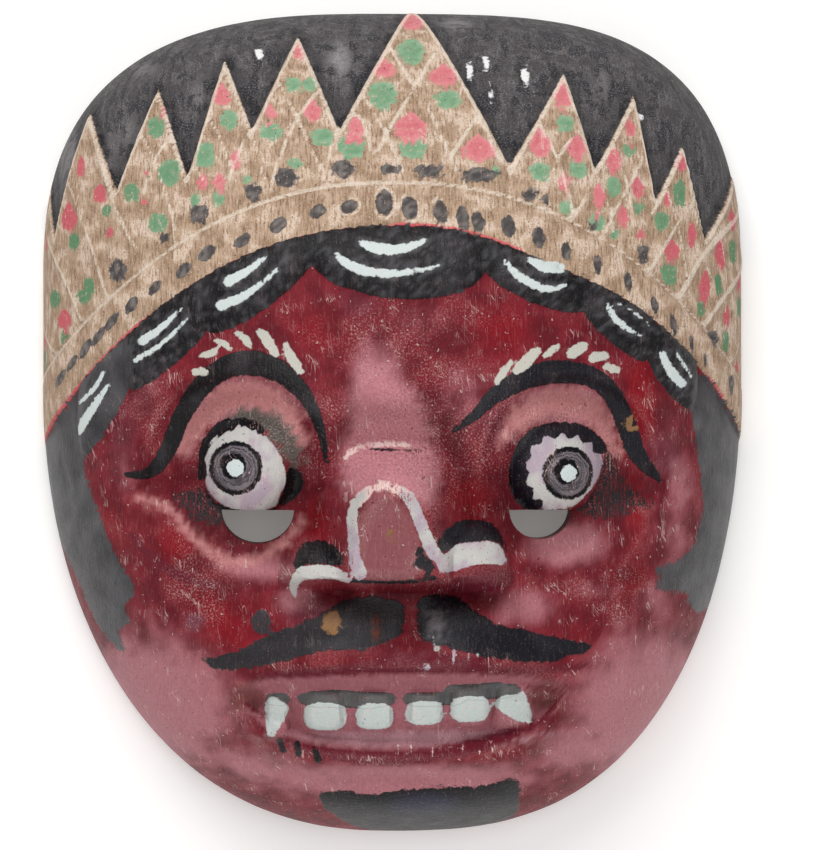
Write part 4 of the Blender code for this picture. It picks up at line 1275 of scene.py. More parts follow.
def light_layer(face, highlights, whites_of_eyes):
    """All that is pale: strokes on the nose, eyes, teeth, highlights and chips."""
    eye_white = mixed(ease(0.45, 0.7, face.cloud), WHITE, LILAC)
    nose_dry = 0.25 + mound(face.x, face.y, *WORN_ARCH)
    teeth = together((face.blocks(*PAINTED_TEETH), face.outlines(*FANGS)))
    return Layer(face).add_all(
        (face.strokes(NOSE_TOP_STROKE, NOSE_STEP), FLECK, 0.4, 0.3, 1.0),
        (face.strokes(*NOSE_STROKES, *DRIPS), eye_white, nose_dry),
        (face.outlines(*NOSE_WING_WHITE), eye_white, 0.25),
        (whites_of_eyes, eye_white),
        (teeth, TOOTH, 0.0, 0.2, 0.4),
        (highlights + 0.1, MINT, 0.1, 0.2, 0.4),
        (face.strokes(*BROW_DABS) + 0.1, BROW_GREY, 0.2, 0.2, 0.5),
        (face.strokes(*LIP_TICKS), FLECK, 0.3),
        (face.crown_blobs(WEDGE_CHIPS), CHIP_WHITE, 0.1, 0.25, 0.8),
        (face.ovals(*GOLD_CHIPS), GOLD, 0.3, 0.4, 2.4),
        (face.ovals(*DARK_CHIPS), RUST, 0.5, 0.4, 1.2),
    )


def paint_fields(x, y, carved):
    """All that the paint needs, as numbers and colours for each place on the face."""
    face = Face(x, y)
    down_wall = np.clip(WALL_HEIGHT - carved[..., 2], 0.0, WALL_HEIGHT)
    fall = down_wall / np.maximum(np.hypot(x, y), 1.0)
    outside = np.clip(-inside_triangles(x, y), -FAR, FAR)
    dots = crown_dots(face)
    highlights = face.strokes(*LOCK_HIGHLIGHTS)
    whites_of_eyes, lashes = painted_eyes(face)
    proud = standing_proud(carved, 3) + 1.3 * (face.cloud - 0.5)
    fields = {
        "across_face": face.round_x + fall * x,
        "up_face": face.up + fall * y,
        "skin": skin_paint(face),
        "above_band_foot": np.clip(y - face.low, -FAR, 60.0),
        "between_triangles": np.minimum(outside, y - face.top),
        "wedge_pale": swells(face.round_x, y, WEDGE_PALE_PLACES),
        "flecked": ease(0.1, 1.0, swells(x, y, FLECKED_PLACES) + face.cloud - 0.5),
        "cream_lines": cream_lines(face, dots),
        **blob_layer(face).fields("blobs"),
        **dark_layer(face, highlights, lashes, dots).fields("dark"),
        **light_layer(face, highlights, whites_of_eyes).fields("light"),
        "rim": outline_level(x, y),
        "ridge": ease(0.2, 0.7, proud),
        # How deep in a hollow each place lies, for darkening that is partly dirt and partly painted
        # shade
        "dirt_and_shade_in_hollows": ease(0.3, 2.2, -standing_proud(carved, 12)),
    }
    return {name: values.reshape(x.size, -1) for name, values in fields.items()}


# ---- The carving as a mesh ----


def new_object(name, points, faces):
    mesh = bpy.data.meshes.new(name)
    mesh.from_pydata((points * MM).tolist(), [], faces)
    mesh.update()
    obj = bpy.data.objects.new(name, mesh)
    bpy.context.scene.collection.objects.link(obj)
    return obj


def store(mesh, name, values):
    """One number, or one colour, for each point of the mesh."""
    if values.ndim == 2 and values.shape[1] == 3:
        layer = mesh.attributes.new(name, "FLOAT_COLOR", "POINT")
        values = np.concatenate([values, np.ones((len(values), 1))], axis=1)
        layer.data.foreach_set("color", values.reshape(-1).astype(np.float32))
    else:
        layer = mesh.attributes.new(name, "FLOAT", "POINT")
        layer.data.foreach_set("value", values.reshape(-1).astype(np.float32))


def plain_mesh(obj):
    """The object's mesh with its modifiers worked into it."""
    graph = bpy.context.evaluated_depsgraph_get()
    made = bpy.data.meshes.new_from_object(obj.evaluated_get(graph))
    obj.modifiers.clear()
    obj.data = made
    return made


def mesh_points(mesh):
    """All the mesh's points in millimetres."""
    points = np.empty(len(mesh.vertices) * 3)
    mesh.vertices.foreach_get("co", points)
    return points.reshape(-1, 3) / MM


class Wiring:
    """Short ways to add and join the nodes of one tree."""

    def __init__(self, tree):
        self.tree = tree

    def feed(self, socket, value):
        if isinstance(value, bpy.types.NodeSocket):
            self.tree.links.new(value, socket)
        else:
            socket.default_value = value

    def node(self, kind, inputs=None, **settings):
        made = self.tree.nodes.new(kind)
        for name, value in settings.items():
            setattr(made, name, value)
        for key, value in (inputs or {}).items():
            self.feed(made.inputs[key], value)
        return made

    def maths(self, operation, *values):
        made = self.node("ShaderNodeMath", operation=operation)
        for socket, value in zip(made.inputs, values):
            self.feed(socket, value)
        return made.outputs[0]

    def times(self, first, second):
        return self.maths("MULTIPLY", first, second)

    def times_plus(self, value, factor, more):
        """A value times a factor, and something added to that."""
        return self.maths("MULTIPLY_ADD", value, factor, more)

    def vector(self, operation, first, second, output=0):
        made = self.node("ShaderNodeVectorMath", operation=operation)
        self.feed(made.inputs[0], first)
        self.feed(made.inputs[1], second)
        return made.outputs[output]

    def between(self, value, start, end):
        """0 at start and 1 at end, with a smooth step between; start may be above end."""
        made = self.node("ShaderNodeMapRange", interpolation_type="SMOOTHSTEP")
        joined = any(isinstance(limit, bpy.types.NodeSocket) for limit in (start, end))
        if not joined and start > end:
            start, end = end, start
            made.inputs["To Min"].default_value = 1.0
            made.inputs["To Max"].default_value = 0.0
        self.feed(made.inputs["Value"], value)
        self.feed(made.inputs["From Min"], start)
        self.feed(made.inputs["From Max"], end)
        return made.outputs["Result"]

    def blend(self, factor, under, over, how="MIX"):
        """One colour over another; the mix node keeps its colour sockets after its others."""
        made = self.node("ShaderNodeMix", data_type="RGBA", blend_type=how)
        for index, value in ((0, factor), (6, under), (7, over)):
            self.feed(made.inputs[index], value)
        return made.outputs[2]

    def scaled(self, place, size):
        """A direction or place made so many times longer."""
        made = self.node("ShaderNodeVectorMath", operation="SCALE")
        self.feed(made.inputs[0], place)
        self.feed(made.inputs["Scale"], size)
        return made.outputs[0]

    def combined(self, x, y, z=0.0):
        """A place or size from its three parts."""
        return self.node("ShaderNodeCombineXYZ", {"X": x, "Y": y, "Z": z}).outputs[0]

    def bump(self, height, strength, distance):
        inputs = {"Height": height, "Strength": strength, "Distance": distance}
        return self.node("ShaderNodeBump", inputs).outputs[0]

    def noise(self, place, scale, detail=2.0, roughness=0.5, distortion=0.0, flat=False):
        inputs = {
            "Vector": place, "Scale": scale, "Detail": detail, "Roughness": roughness,
            "Distortion": distortion,
        }
        dimensions = "2D" if flat else "3D"
        return self.node("ShaderNodeTexNoise", inputs, noise_dimensions=dimensions).outputs[0]

    def attribute(self, name, output="Fac"):
        return self.node("ShaderNodeAttribute", attribute_name=name).outputs[output]

    def group(self, tree, inputs):
        kind = "GeometryNodeGroup" if tree.bl_idname == "GeometryNodeTree" else "ShaderNodeGroup"
        return self.node(kind, inputs, node_tree=tree).outputs


def new_tree(name, kind, inputs, outputs):
    """A node group with named sockets: each one's name, kind and value if it is left unjoined."""
    tree = bpy.data.node_groups.new(name, kind)
    for label, socket_kind, value in inputs:
        socket = tree.interface.new_socket(label, in_out="INPUT", socket_type=socket_kind)
        if value is not None:
            socket.default_value = value
    for label, socket_kind in outputs:
        tree.interface.new_socket(label, in_out="OUTPUT", socket_type=socket_kind)
    wiring = Wiring(tree)
    start = wiring.node("NodeGroupInput").outputs
    end = wiring.node("NodeGroupOutput").inputs
    return tree, wiring, start, end


FLOAT, COLOUR, VECTOR = "NodeSocketFloat", "NodeSocketColor", "NodeSocketVector"
GEOMETRY = "NodeSocketGeometry"


def gouge_marks(painted, bare):
    """Scoops that a gouge leaves side by side, as deep as the mesh's gouge depth says.

    It then gives the painted material to the whole mesh, and the bare one to its unpainted faces.
    """
    tree, wiring, start, end = new_tree(
        "gouge_marks", "GeometryNodeTree",
        (("Geometry", GEOMETRY, None), ("Mark Width", FLOAT, 0.007), ("Mark Length", FLOAT, 0.014),
         ("Depth", FLOAT, 0.001), ("Seed", FLOAT, 4.0)),
        (("Geometry", GEOMETRY),),
    )
    place = wiring.node("GeometryNodeInputPosition").outputs[0]
    size = wiring.combined(start["Mark Width"], start["Mark Length"], start["Mark Length"])
    cells = wiring.node(
        "ShaderNodeTexVoronoi",
        {"Vector": wiring.vector("DIVIDE", place, size), "W": start["Seed"], "Scale": 1.0,
         "Randomness": 0.8, "Smoothness": 0.18},
        voronoi_dimensions="4D", feature="SMOOTH_F1",
    )
    scoop = wiring.maths("SUBTRACT", 0.75, cells.outputs["Distance"])
    share = wiring.node(
        "GeometryNodeInputNamedAttribute", {"Name": "gouge_depth"}, data_type="FLOAT"
    ).outputs["Attribute"]
    depth = wiring.times(wiring.times(scoop, start["Depth"]), share)
    normal = wiring.node("GeometryNodeInputNormal").outputs[0]
    inwards = wiring.scaled(normal, wiring.times(depth, -1.0))
    moved = wiring.node(
        "GeometryNodeSetPosition", {"Geometry": start["Geometry"], "Offset": inwards}
    ).outputs[0]
    whole = wiring.node("GeometryNodeRealizeInstances", {"Geometry": moved}).outputs[0]
    coated = wiring.node(
        "GeometryNodeSetMaterial", {"Geometry": whole, "Material": painted}
    ).outputs[0]
    unpainted = wiring.node(
        "GeometryNodeInputNamedAttribute", {"Name": "unpainted"}, data_type="BOOLEAN"
    ).outputs["Attribute"]
    finished = wiring.node(
        "GeometryNodeSetMaterial",
        {"Geometry": coated, "Selection": unpainted, "Material": bare},
    ).outputs[0]
    wiring.feed(end["Geometry"], finished)
    return tree


def slit_cutter(number, slit):
    """An upright prism, straight on top and round below, used only to cut."""
    middle, half_width, depth = slit
    turns = np.linspace(np.pi, 2.0 * np.pi, SLIT_CORNERS)
    outline = [(middle + half_width * np.cos(t), SLIT_TOP_Y + depth * np.sin(t)) for t in turns]
    count = len(outline)
    points = [(x, y, z) for z in SLIT_CUTTER_Z for x, y in outline]
    faces = [list(range(count - 1, -1, -1)), list(range(count, 2 * count))]
    for i in range(count):
        j = (i + 1) % count
        faces.append([i, j, count + j, count + i])
    return new_object(f"slit_cutter_{number}", np.array(points), faces)


def cut_slits(carving):
    """Opens the slits right through; gives back the cut mesh."""
    cutters = [slit_cutter(number, slit) for number, slit in enumerate(SLITS)]
    for tool in cutters:
        boolean = carving.modifiers.new(tool.name, "BOOLEAN")
        boolean.operation = "DIFFERENCE"
        boolean.solver = "EXACT"
        boolean.object = tool
    mesh = plain_mesh(carving)
    for tool in cutters:
        bpy.data.objects.remove(tool)
    return mesh


def fit_to_box(mesh, low, high):
    """Stretches the mesh by a hair, so that it fills the box of the solid that it stands for."""
    points = mesh_points(mesh) * MM
    own_low, own_high = points.min(axis=0), points.max(axis=0)
    scale = (np.array(high) - np.array(low)) / (own_high - own_low)
    points = np.array(low) + (points - own_low) * scale
    mesh.vertices.foreach_set("co", points.reshape(-1).astype(np.float32))
    mesh.update()


def add_gouge_marks(carving, painted, bare):
    tree = gouge_marks(painted, bare)
    marks = carving.modifiers.new("gouge_marks", "NODES")
    marks.node_group = tree
    values = {
        "Mark Width": GOUGE_WIDTH, "Mark Length": GOUGE_LENGTH, "Depth": GOUGE_DEPTH,
        "Seed": GOUGE_SEED,
    }
    for socket in tree.interface.items_tree:
        if socket.in_out == "INPUT" and socket.name in values:
            marks[socket.identifier] = values[socket.name]


def nearest_points(points, known):
    """Which of the known points is nearest to each of the others."""
    lookup = KDTree(len(known))
    for index, point in enumerate(known):
        lookup.insert(point, index)
    lookup.balance()
    return np.array([lookup.find(point)[1] for point in points])


def carve_mask(painted, bare):
    """The whole carving: its shell, the gouge marks, the slits, and the paint's values on it."""
    front, flat_x, flat_y = front_surface(*round_grid(FACE_CELLS))
    hollow = hollow_surface(*round_grid(FACE_CELLS // CELLS_PER_HOLLOW_CELL))
    points, faces = closed_shell(front, hollow)
    fields = paint_fields(flat_x, flat_y, front)
    carving = new_object("mask_carving", points, faces)
    painted_count, painted_faces = flat_x.size, FACE_CELLS * FACE_CELLS
    unpainted = carving.data.attributes.new("unpainted", "BOOLEAN", "FACE")
    unpainted.data.foreach_set("value", np.arange(len(faces)) >= painted_faces)
    on_hollow = np.arange(len(points)) >= painted_count
    gouge_depth = np.where(on_hollow, 1.0, GOUGE_SHARE_ON_FACE)
    gouge_depth *= ease(*GOUGE_ABOVE_RIM, points[:, 2])
    store(carving.data, "gouge_depth", gouge_depth)

    add_gouge_marks(carving, painted, bare)
    carved = mesh_points(plain_mesh(carving))
    mesh = cut_slits(carving)
    nearest = nearest_points(mesh_points(mesh), carved[:painted_count])
    for name, values in fields.items():
        store(mesh, name, values[nearest])
    fit_to_box(mesh, MASK_LOW, MASK_HIGH)
    mesh.shade_smooth()
    mesh.set_sharp_from_angle(angle=SHARP_ANGLE)
    return carving


# ---- Paint and wood ----

# The noises' thresholds below lie round 0.5, the middle of each noise, and strengths run to 1
IRIS_MIDDLES = ((-37.25, -10.75), (36.9, -12.0))
PAINT_RELIEF, GRAIN_RELIEF = 0.0004, 0.0005


def coat_group():
    """A layer of paint over what is under it, with ragged edges and dry-brushed gaps."""
    tree, wiring, start, end = new_tree(
        "brush_coat", "ShaderNodeTree",
        (("Under", COLOUR, None), ("Inside", FLOAT, 0.0), ("Paint", COLOUR, None),
         ("Dryness", FLOAT, 0.0), ("Wobble", FLOAT, 0.5), ("Grain", FLOAT, 0.5),
         ("Ragged", FLOAT, 0.8)),
        (("Colour", COLOUR), ("Covered", FLOAT)),
    )
    shake = wiring.maths("SUBTRACT", start["Wobble"], 0.5)
    edge = wiring.times_plus(shake, start["Ragged"], start["Inside"])
    covered = wiring.between(edge, -0.15, 0.15)
    dry_at = wiring.times_plus(start["Dryness"], 0.5, start["Grain"])
    covered = wiring.times(covered, wiring.between(dry_at, 0.82, 0.74))
    paler = wiring.between(start["Grain"], 0.5, 0.72)
    body = wiring.blend(paler, start["Paint"], FLECK, "SOFT_LIGHT")
    body = wiring.blend(wiring.times(paler, 0.04), body, FLECK)
    wiring.feed(end["Colour"], wiring.blend(covered, start["Under"], body))
    wiring.feed(end["Covered"], covered)
    return tree


def grain_group():
    """Wood fibres along Y: a colour and a height from 0 to 1."""
    tree, wiring, start, end = new_tree(
        "wood_grain", "ShaderNodeTree",
        (("Place", VECTOR, None), ("Light", COLOUR, None), ("Dark", COLOUR, None),
         ("Fibre Width", FLOAT, 0.5), ("Fibre Length", FLOAT, 12.0)),
        (("Colour", COLOUR), ("Height", FLOAT)),
    )
    size = wiring.combined(start["Fibre Width"], start["Fibre Length"], start["Fibre Width"])
    place = wiring.vector("DIVIDE", start["Place"], size)
    fibres = wiring.noise(place, 1.0, 3.0, 0.6, 0.2)
    bands = wiring.noise(wiring.vector("MULTIPLY", place, (0.13, 0.3, 0.13)), 1.0, 2.0)
    height = wiring.times_plus(bands, 0.4, wiring.times(fibres, 0.6))
    darkness = wiring.between(height, 0.38, 0.62)
    wiring.feed(end["Colour"], wiring.blend(darkness, start["Dark"], start["Light"]))
    wiring.feed(end["Height"], height)
    return tree


def scratch_group():
    """Thin scratches in one direction, which come and go in patches, as a mask."""
    tree, wiring, start, end = new_tree(
        "scratches", "ShaderNodeTree",
        (("Place", VECTOR, None), ("Size", VECTOR, (1.4, 12.0, 1.4)), ("Direction", VECTOR, None),
         ("Thickness", FLOAT, 0.014), ("Amount", FLOAT, 0.5), ("Patches", FLOAT, 0.5)),
        (("Scratch", FLOAT),),
    )
    place = wiring.node(
        "ShaderNodeMapping",
        {"Vector": start["Place"], "Rotation": start["Direction"], "Scale": start["Size"]},
        vector_type="TEXTURE",
    ).outputs[0]
    waves = wiring.noise(place, 1.0, 1.0, 0.5, flat=True)
    off_line = wiring.maths("ABSOLUTE", wiring.maths("SUBTRACT", waves, 0.5))
    line = wiring.between(off_line, start["Thickness"], 0.0)
    least = wiring.maths("SUBTRACT", 0.72, wiring.times(start["Amount"], 0.34))
    shown = wiring.between(start["Patches"], least, wiring.maths("ADD", least, 0.08))
    wiring.feed(end["Scratch"], wiring.times(line, shown))
    return tree


def iris_group():
    """A painted iris: rings brushed round a pale pupil with a dark edge, over what is under it."""
    tree, wiring, start, end = new_tree(
        "painted_iris", "ShaderNodeTree",
        (("Under", COLOUR, None), ("Place", VECTOR, None), ("Middle", VECTOR, None),
         ("Iris Radius", FLOAT, 5.5), ("Pupil Radius", FLOAT, 1.85), ("Wobble", FLOAT, 0.5)),
        (("Colour", COLOUR),),
    )
    off = wiring.vector("SUBTRACT", start["Place"], start["Middle"])
    parts = wiring.node("ShaderNodeSeparateXYZ", {"Vector": off}).outputs
    flat = wiring.combined(parts["X"], parts["Y"])
    reach = wiring.vector("LENGTH", flat, (0.0, 0.0, 0.0), output=1)
    shake = wiring.times(wiring.maths("SUBTRACT", start["Wobble"], 0.5), 1.1)
    reach = wiring.maths("ADD", reach, shake)
    angle = wiring.maths("ARCTAN2", parts["Y"], parts["X"])
    along_ring = wiring.combined(
        wiring.times(reach, 2.6), wiring.times(angle, 0.5)
    )
    rings = wiring.between(wiring.noise(along_ring, 1.0, 2.0, 0.6, flat=True), 0.42, 0.6)
    iris = wiring.blend(rings, IRIS_DARK, IRIS)
    from_edge = wiring.maths("SUBTRACT", reach, start["Iris Radius"])
    within = wiring.between(from_edge, 0.15, -0.15)
    colour = wiring.blend(within, start["Under"], iris)
    outline = wiring.between(wiring.maths("ABSOLUTE", from_edge), 0.7, 0.3)
    colour = wiring.blend(outline, colour, BLACK)
    shifted = wiring.vector("DISTANCE", flat, (-0.5, 0.5, 0.0), output=1)
    past_pupil = wiring.maths(
        "SUBTRACT", wiring.maths("ADD", shifted, shake), start["Pupil Radius"]
    )
    colour = wiring.blend(wiring.between(past_pupil, 1.25, 0.85), colour, BLACK)
    pupil = wiring.between(wiring.maths("SUBTRACT", reach, start["Pupil Radius"]), 0.12, -0.12)
    wiring.feed(end["Colour"], wiring.blend(pupil, colour, MINT))
    return tree


def new_material(name):
    """A material with its wiring, its shader and each place on the object in millimetres."""
    material = bpy.data.materials.new(name)
    material.use_nodes = True
    wiring = Wiring(material.node_tree)
    shader = material.node_tree.nodes["Principled BSDF"]
    place = wiring.scaled(wiring.node("ShaderNodeTexCoord").outputs["Object"], 1.0 / MM)
    return material, wiring, shader, place


class Painter:
    """Puts coats of paint over one another, with brush noises laid over the face."""

    def __init__(self, groups):
        self.material, self.wiring, self.shader, self.place = new_material("painted_wood")
        self.groups = groups
        self.colour = None
        wiring, mark = self.wiring, self.wiring.attribute
        self.laid = wiring.combined(mark("across_face"), mark("up_face"))
        self.sideways = wiring.node("ShaderNodeSeparateXYZ", {"Vector": self.place}).outputs["X"]
        self.cloud = wiring.noise(self.laid, 0.17, 2.0, 0.6, flat=True)
        self.wobble = wiring.noise(self.laid, 0.75, 2.0, 0.65, flat=True)
        self.speck = wiring.noise(self.laid, 2.1, 2.0, 0.75, flat=True)
        self.fine = self.brushed(0.5, 3.2)
        self.grains = self.mean(self.speck, self.wobble)
        self.brushed_grains = self.mean(self.fine, self.speck)
        self.flecked = mark("flecked")

    def brushed(self, width, length, turn=0.0):
        """Noise drawn out into brush marks of one size, turned so many degrees from upright."""
        inputs = {
            "Vector": self.laid, "Rotation": (0.0, 0.0, math.radians(turn)),
            "Scale": (width, length, 1.0),
        }
        place = self.wiring.node("ShaderNodeMapping", inputs, vector_type="TEXTURE").outputs[0]
        return self.wiring.noise(place, 1.0, 2.0, 0.6, flat=True)

    def mean(self, first, second):
        return self.wiring.times_plus(first, 0.5, self.wiring.times(second, 0.5))

    def wash(self, mask, colour, strength=1.0, how="MIX"):
        """Changes the colour so far where the mask says."""
        if strength != 1.0:
            mask = self.wiring.times(mask, strength)
        self.colour = self.wiring.blend(mask, self.colour, colour, how)

    def touch(self, noise, start, end, colour, strength):
        """Changes the colour so far where a noise has passed from the start to the end."""
        self.wash(self.wiring.between(noise, start, end), colour, strength)

    def coat(self, name, grain, ragged=0.8):
        """One of the mesh's layers of paint; gives back where it covers."""
        mark = self.wiring.attribute
        made = self.wiring.group(self.groups["coat"], {
            "Under": self.colour, "Inside": mark(name), "Paint": mark(f"{name}_paint", "Color"),
            "Dryness": mark(f"{name}_dry"), "Wobble": self.wobble, "Grain": grain,
            "Ragged": ragged,
        })
        self.colour = made["Colour"]
        return made["Covered"]

    def scratches(self, turn, width, length, thickness, amount):
        return self.wiring.group(self.groups["scratches"], {
            "Place": self.laid, "Size": (width, length, 1.0),
            "Direction": (0.0, 0.0, math.radians(turn)), "Thickness": thickness,
            "Amount": amount, "Patches": self.cloud,
        })["Scratch"]

    def paint_face(self):
        """The red, with flecks and dark specks where they gather."""
        wiring = self.wiring
        self.colour = wiring.attribute("skin", "Color")
        self.touch(self.wobble, 0.44, 0.66, RED_DARK, 0.12)
        self.touch(self.fine, 0.56, 0.76, FLECK, 0.06)
        self.touch(self.fine, 0.44, 0.24, RED_DARK, 0.16)
        specks = ((0.56, 0.68, FLECK, 0.36), (0.42, 0.30, RED_DARK, 0.5))
        for start, end, colour, strength in specks:
            marks = wiring.between(self.speck, start, end)
            self.wash(wiring.times(marks, self.flecked), colour, strength)

    def paint_triangles(self, broad):
        """Worn tan over the triangles and the band, with their blobs and cream lines."""
        wiring, mark = self.wiring, self.wiring.attribute
        fibres = self.mean(self.fine, self.cloud)
        self.colour = wiring.blend(wiring.between(fibres, 0.34, 0.58), TAN_BROWN, TAN)
        self.touch(broad, 0.52, 0.66, TAN_BROWN, 0.45)
        in_patches = wiring.between(self.cloud, 0.5, 0.64)
        scratched = wiring.between(self.brushed_grains, 0.42, 0.56)
        self.wash(wiring.times(in_patches, scratched), TAN_PALE, 0.7)
        self.touch(self.fine, 0.40, 0.30, TAN_DARK, 0.4)
        self.touch(self.speck, 0.58, 0.72, TAN_PALE, 0.5)
        self.touch(self.speck, 0.36, 0.28, TAN_DARK, 0.4)
        self.coat("blobs", self.grains)
        lines = wiring.times_plus(self.wobble, 0.8, mark("cream_lines"))
        worn = wiring.times_plus(wiring.between(self.grains, 0.58, 0.46), 0.6, 0.4)
        self.wash(wiring.times(wiring.between(lines, 0.3, 0.6), worn), CREAM, 0.85)

    def paint_wedges(self, broad, gap):
        """Stained grey between the triangles, blacker along their edges, with pale places that are
        partly worn and partly a painted highlight.
        """
        wiring, mark = self.wiring, self.wiring.attribute
        tone = wiring.times_plus(self.cloud, 0.6, wiring.times(broad, 0.4))
        self.colour = wiring.blend(wiring.between(tone, 0.42, 0.53), GROUND_BLACK, GROUND_GREY)
        self.touch(self.fine, 0.56, 0.36, GROUND_BLACK, 0.4)
        # Pale places between the triangles: partly worn black, partly a painted highlight
        pale = wiring.times_plus(self.cloud, 1.6, mark("wedge_pale"))
        self.touch(pale, 0.95, 1.75, GROUND_PALE, 0.8)
        self.touch(self.speck, 0.55, 0.7, GROUND_PALE, 0.55)
        self.touch(self.speck, 0.45, 0.3, BLACK, 0.45)
        near_edge = wiring.times_plus(self.cloud, -8.0, gap)
        self.touch(near_edge, 0.0, -2.6, BLACK, 0.55)

    def paint_crown(self):
        """The crown over the red; gives back where it covers, and where its wedges do."""
        wiring, mark = self.wiring, self.wiring.attribute
        red, gap = self.colour, mark("between_triangles")
        broad = self.brushed(3.0, 15.0)
        self.paint_triangles(broad)
        tan = self.colour
        self.paint_wedges(broad, gap)
        shaken = wiring.times_plus(self.wobble, 0.7, gap)
        in_gap = wiring.between(shaken, 0.15, 0.55)
        self.colour = wiring.blend(in_gap, tan, self.colour)
        chips = wiring.times_plus(self.wobble, 0.6, mark("rim"))
        self.wash(wiring.times(wiring.between(chips, 1.37, 1.40), in_gap), CREAM, 0.7)
        on_crown = wiring.between(mark("above_band_foot"), -0.15, 0.15)
        self.colour = wiring.blend(on_crown, red, self.colour)
        return on_crown, wiring.times(in_gap, on_crown)

    def paint_irises(self):
        """Both irises with one group, whose middle jumps from the left one to the right one."""
        wiring = self.wiring
        on_right = wiring.maths("GREATER_THAN", self.sideways, 0.0)
        middle = wiring.combined(*(
            wiring.times_plus(on_right, right - left, left)
            for left, right in zip(*IRIS_MIDDLES)
        ))
        self.colour = wiring.group(self.groups["iris"], {
            "Under": self.colour, "Place": self.place, "Middle": middle, "Wobble": self.wobble,
        })["Colour"]

    def wear_dirt_and_shade(self, dark_paint):
        """Rubbed ridges, scratches, chips, and darkening in the hollows that is partly dirt and
        partly painted shade.
        """
        wiring, mark = self.wiring, self.wiring.attribute
        on_red = wiring.times_plus(dark_paint, -0.85, 1.0)
        ridge = wiring.times(mark("ridge"), wiring.between(self.speck, 0.35, 0.65))
        self.wash(wiring.times(ridge, on_red), FLECK, 0.08)
        lines = wiring.maths(
            "MAXIMUM", self.scratches(4.0, 1.5, 14.0, 0.014, 0.5),
            self.scratches(38.0, 1.3, 9.0, 0.014, 0.4),
        )
        chips = wiring.between(self.wobble, 0.73, 0.76)
        self.wash(wiring.times(wiring.maths("MAXIMUM", lines, chips), on_red), FLECK, 0.5)
        self.touch(self.wobble, 0.27, 0.24, RED_DARK, 0.6)
        # Darker in the hollows: partly dirt, partly painted shade
        self.wash(mark("dirt_and_shade_in_hollows"), RED_DEEP, 0.4, "MULTIPLY")

    def finish(self, on_crown, dark_paint):
        """Roughness, gloss and the paint's small relief: thick paint stands above thin."""
        wiring, shader = self.wiring, self.shader
        wiring.feed(shader.inputs["Base Color"], self.colour)
        rough = wiring.times_plus(self.cloud, 0.2, 0.40)
        rough = wiring.times_plus(on_crown, 0.15, rough)
        rough = wiring.times_plus(dark_paint, -0.08, rough)
        wiring.feed(shader.inputs["Roughness"], rough)
        gloss = wiring.times_plus(dark_paint, 0.12, 0.09)
        wiring.feed(shader.inputs["Specular IOR Level"], gloss)
        height = wiring.times(self.fine, 0.2)
        for part, share in ((self.speck, 0.3), (self.wobble, 0.35)):
            height = wiring.times_plus(part, share, height)
        for name in ("dark", "light"):
            covered = wiring.between(wiring.attribute(name), -0.15, 0.2)
            height = wiring.times_plus(covered, 0.3, height)
        wiring.feed(shader.inputs["Normal"], wiring.bump(height, 0.9, PAINT_RELIEF))
        return self.material


def painted_wood(groups):
    painter = Painter(groups)
    painter.paint_face()
    on_crown, in_gap = painter.paint_crown()
    dark_paint = painter.coat("dark", painter.brushed_grains)
    painter.coat("light", painter.brushed_grains)
    painter.paint_irises()
    painter.wear_dirt_and_shade(painter.wiring.maths("MAXIMUM", dark_paint, in_gap))
    return painter.finish(on_crown, dark_paint)


def bare_wood(groups):
    """The hollow and the rim: unpainted, browned by handling, with pale scratches."""
    material, wiring, shader, place = new_material("bare_wood")
    grain = wiring.group(
        groups["grain"], {"Place": place, "Light": BARE_WOOD, "Dark": BARE_WOOD_DARK}
    )
    stain = wiring.noise(place, 0.06, 3.0, 0.6)
    stained = wiring.times(wiring.between(stain, 0.45, 0.68), 0.6)
    colour = wiring.blend(stained, grain["Colour"], BARE_WOOD_DARK)
    scratches = wiring.group(groups["scratches"], {"Place": place, "Patches": stain})
    colour = wiring.blend(wiring.times(scratches["Scratch"], 0.4), colour, TAN)
    wiring.feed(shader.inputs["Base Color"], colour)
    wiring.feed(shader.inputs["Roughness"], wiring.times_plus(stain, 0.25, 0.58))
    wiring.feed(shader.inputs["Normal"], wiring.bump(grain["Height"], 0.8, GRAIN_RELIEF))
    return material


# ---- Floor, light and camera ----

# In metres, apart from the lens's sensor, which is in millimetres
CAMERA_HEIGHT = 0.75
# How far the camera leans to the left for each metre of its height
CAMERA_LEAN = 0.04
AIM = (0.0032, -0.0012)
SENSOR = 36.0
FRAME_HEIGHT_AT_RIM = 0.20485

FLOOR_HALF_SIZE = 1.5
FLOOR_COLOUR, FLOOR_ROUGHNESS = (0.92, 0.915, 0.905, 1.0), 0.9
FLOOR_GLOW, FLOOR_GLOW_STRENGTH = (1.0, 0.985, 0.96, 1.0), 0.14
WORLD_STRENGTH = 0.42
# Each light's name, place, power in watts and size
SOFT_LIGHTS = (
    ("key", (-0.15, 0.55, 0.75), 4.2, 0.5),
    ("fill", (0.0, 0.12, 1.1), 2.4, 0.35),
    ("low_fill", (0.1, -0.62, 0.55), 1.6, 0.6),
)


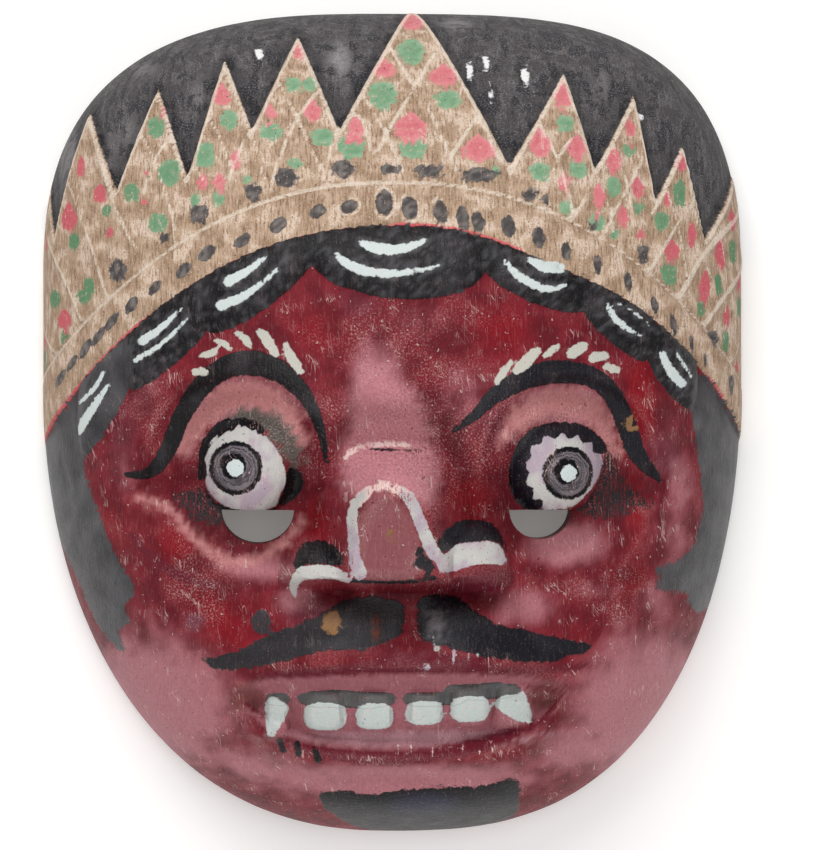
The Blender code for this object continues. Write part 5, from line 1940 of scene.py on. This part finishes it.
def pale_floor():
    """A sheet of paper that glows a little, so that it stays pale."""
    turns = ((-1.0, -1.0), (1.0, -1.0), (1.0, 1.0), (-1.0, 1.0))
    points = np.array([(x, y, 0.0) for x, y in turns]) * FLOOR_HALF_SIZE
    floor = new_object("floor", points / MM, [[0, 1, 2, 3]])
    material = bpy.data.materials.new("studio_paper")
    material.use_nodes = True
    shader = material.node_tree.nodes["Principled BSDF"]
    for name, value in (
        ("Base Color", FLOOR_COLOUR), ("Roughness", FLOOR_ROUGHNESS),
        ("Emission Color", FLOOR_GLOW), ("Emission Strength", FLOOR_GLOW_STRENGTH),
    ):
        shader.inputs[name].default_value = value
    floor.data.materials.append(material)
    floor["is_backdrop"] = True


def soft_light(name, place, power, size):
    """A square light that faces the mask."""
    lamp = bpy.data.lights.new(name, "AREA")
    lamp.energy = power
    lamp.size = size
    obj = bpy.data.objects.new(name, lamp)
    bpy.context.scene.collection.objects.link(obj)
    obj.location = place
    obj.rotation_euler = (-Vector(place)).to_track_quat("-Z", "Y").to_euler()


def studio():
    pale_floor()
    world = bpy.data.worlds.new("studio")
    world.use_nodes = True
    background = world.node_tree.nodes["Background"].inputs
    background["Color"].default_value = (1.0, 1.0, 1.0, 1.0)
    background["Strength"].default_value = WORLD_STRENGTH
    bpy.context.scene.world = world
    for light in SOFT_LIGHTS:
        soft_light(*light)
    bpy.context.scene.view_settings.view_transform = "Standard"


def camera():
    """Looks down on the mask, from a little to the left."""
    lens = bpy.data.cameras.new("camera")
    lens.sensor_width = SENSOR
    lens.lens = SENSOR * CAMERA_HEIGHT / FRAME_HEIGHT_AT_RIM
    obj = bpy.data.objects.new("camera", lens)
    bpy.context.scene.collection.objects.link(obj)
    obj.location = (AIM[0] - CAMERA_HEIGHT * CAMERA_LEAN, AIM[1], CAMERA_HEIGHT)
    obj.rotation_euler = (0.0, -math.atan(CAMERA_LEAN), 0.0)
    bpy.context.scene.camera = obj


def corners(bounds):
    return [[float(value) for value in corner] for corner in bounds]


groups = {
    "coat": coat_group(), "grain": grain_group(), "scratches": scratch_group(),
    "iris": iris_group(),
}
mask_carving = carve_mask(painted_wood(groups), bare_wood(groups))
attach(mask_carving, "root")
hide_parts("mask")
studio()
camera()

{"cad": corners(cad_bounds), "visual": corners(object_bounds())}
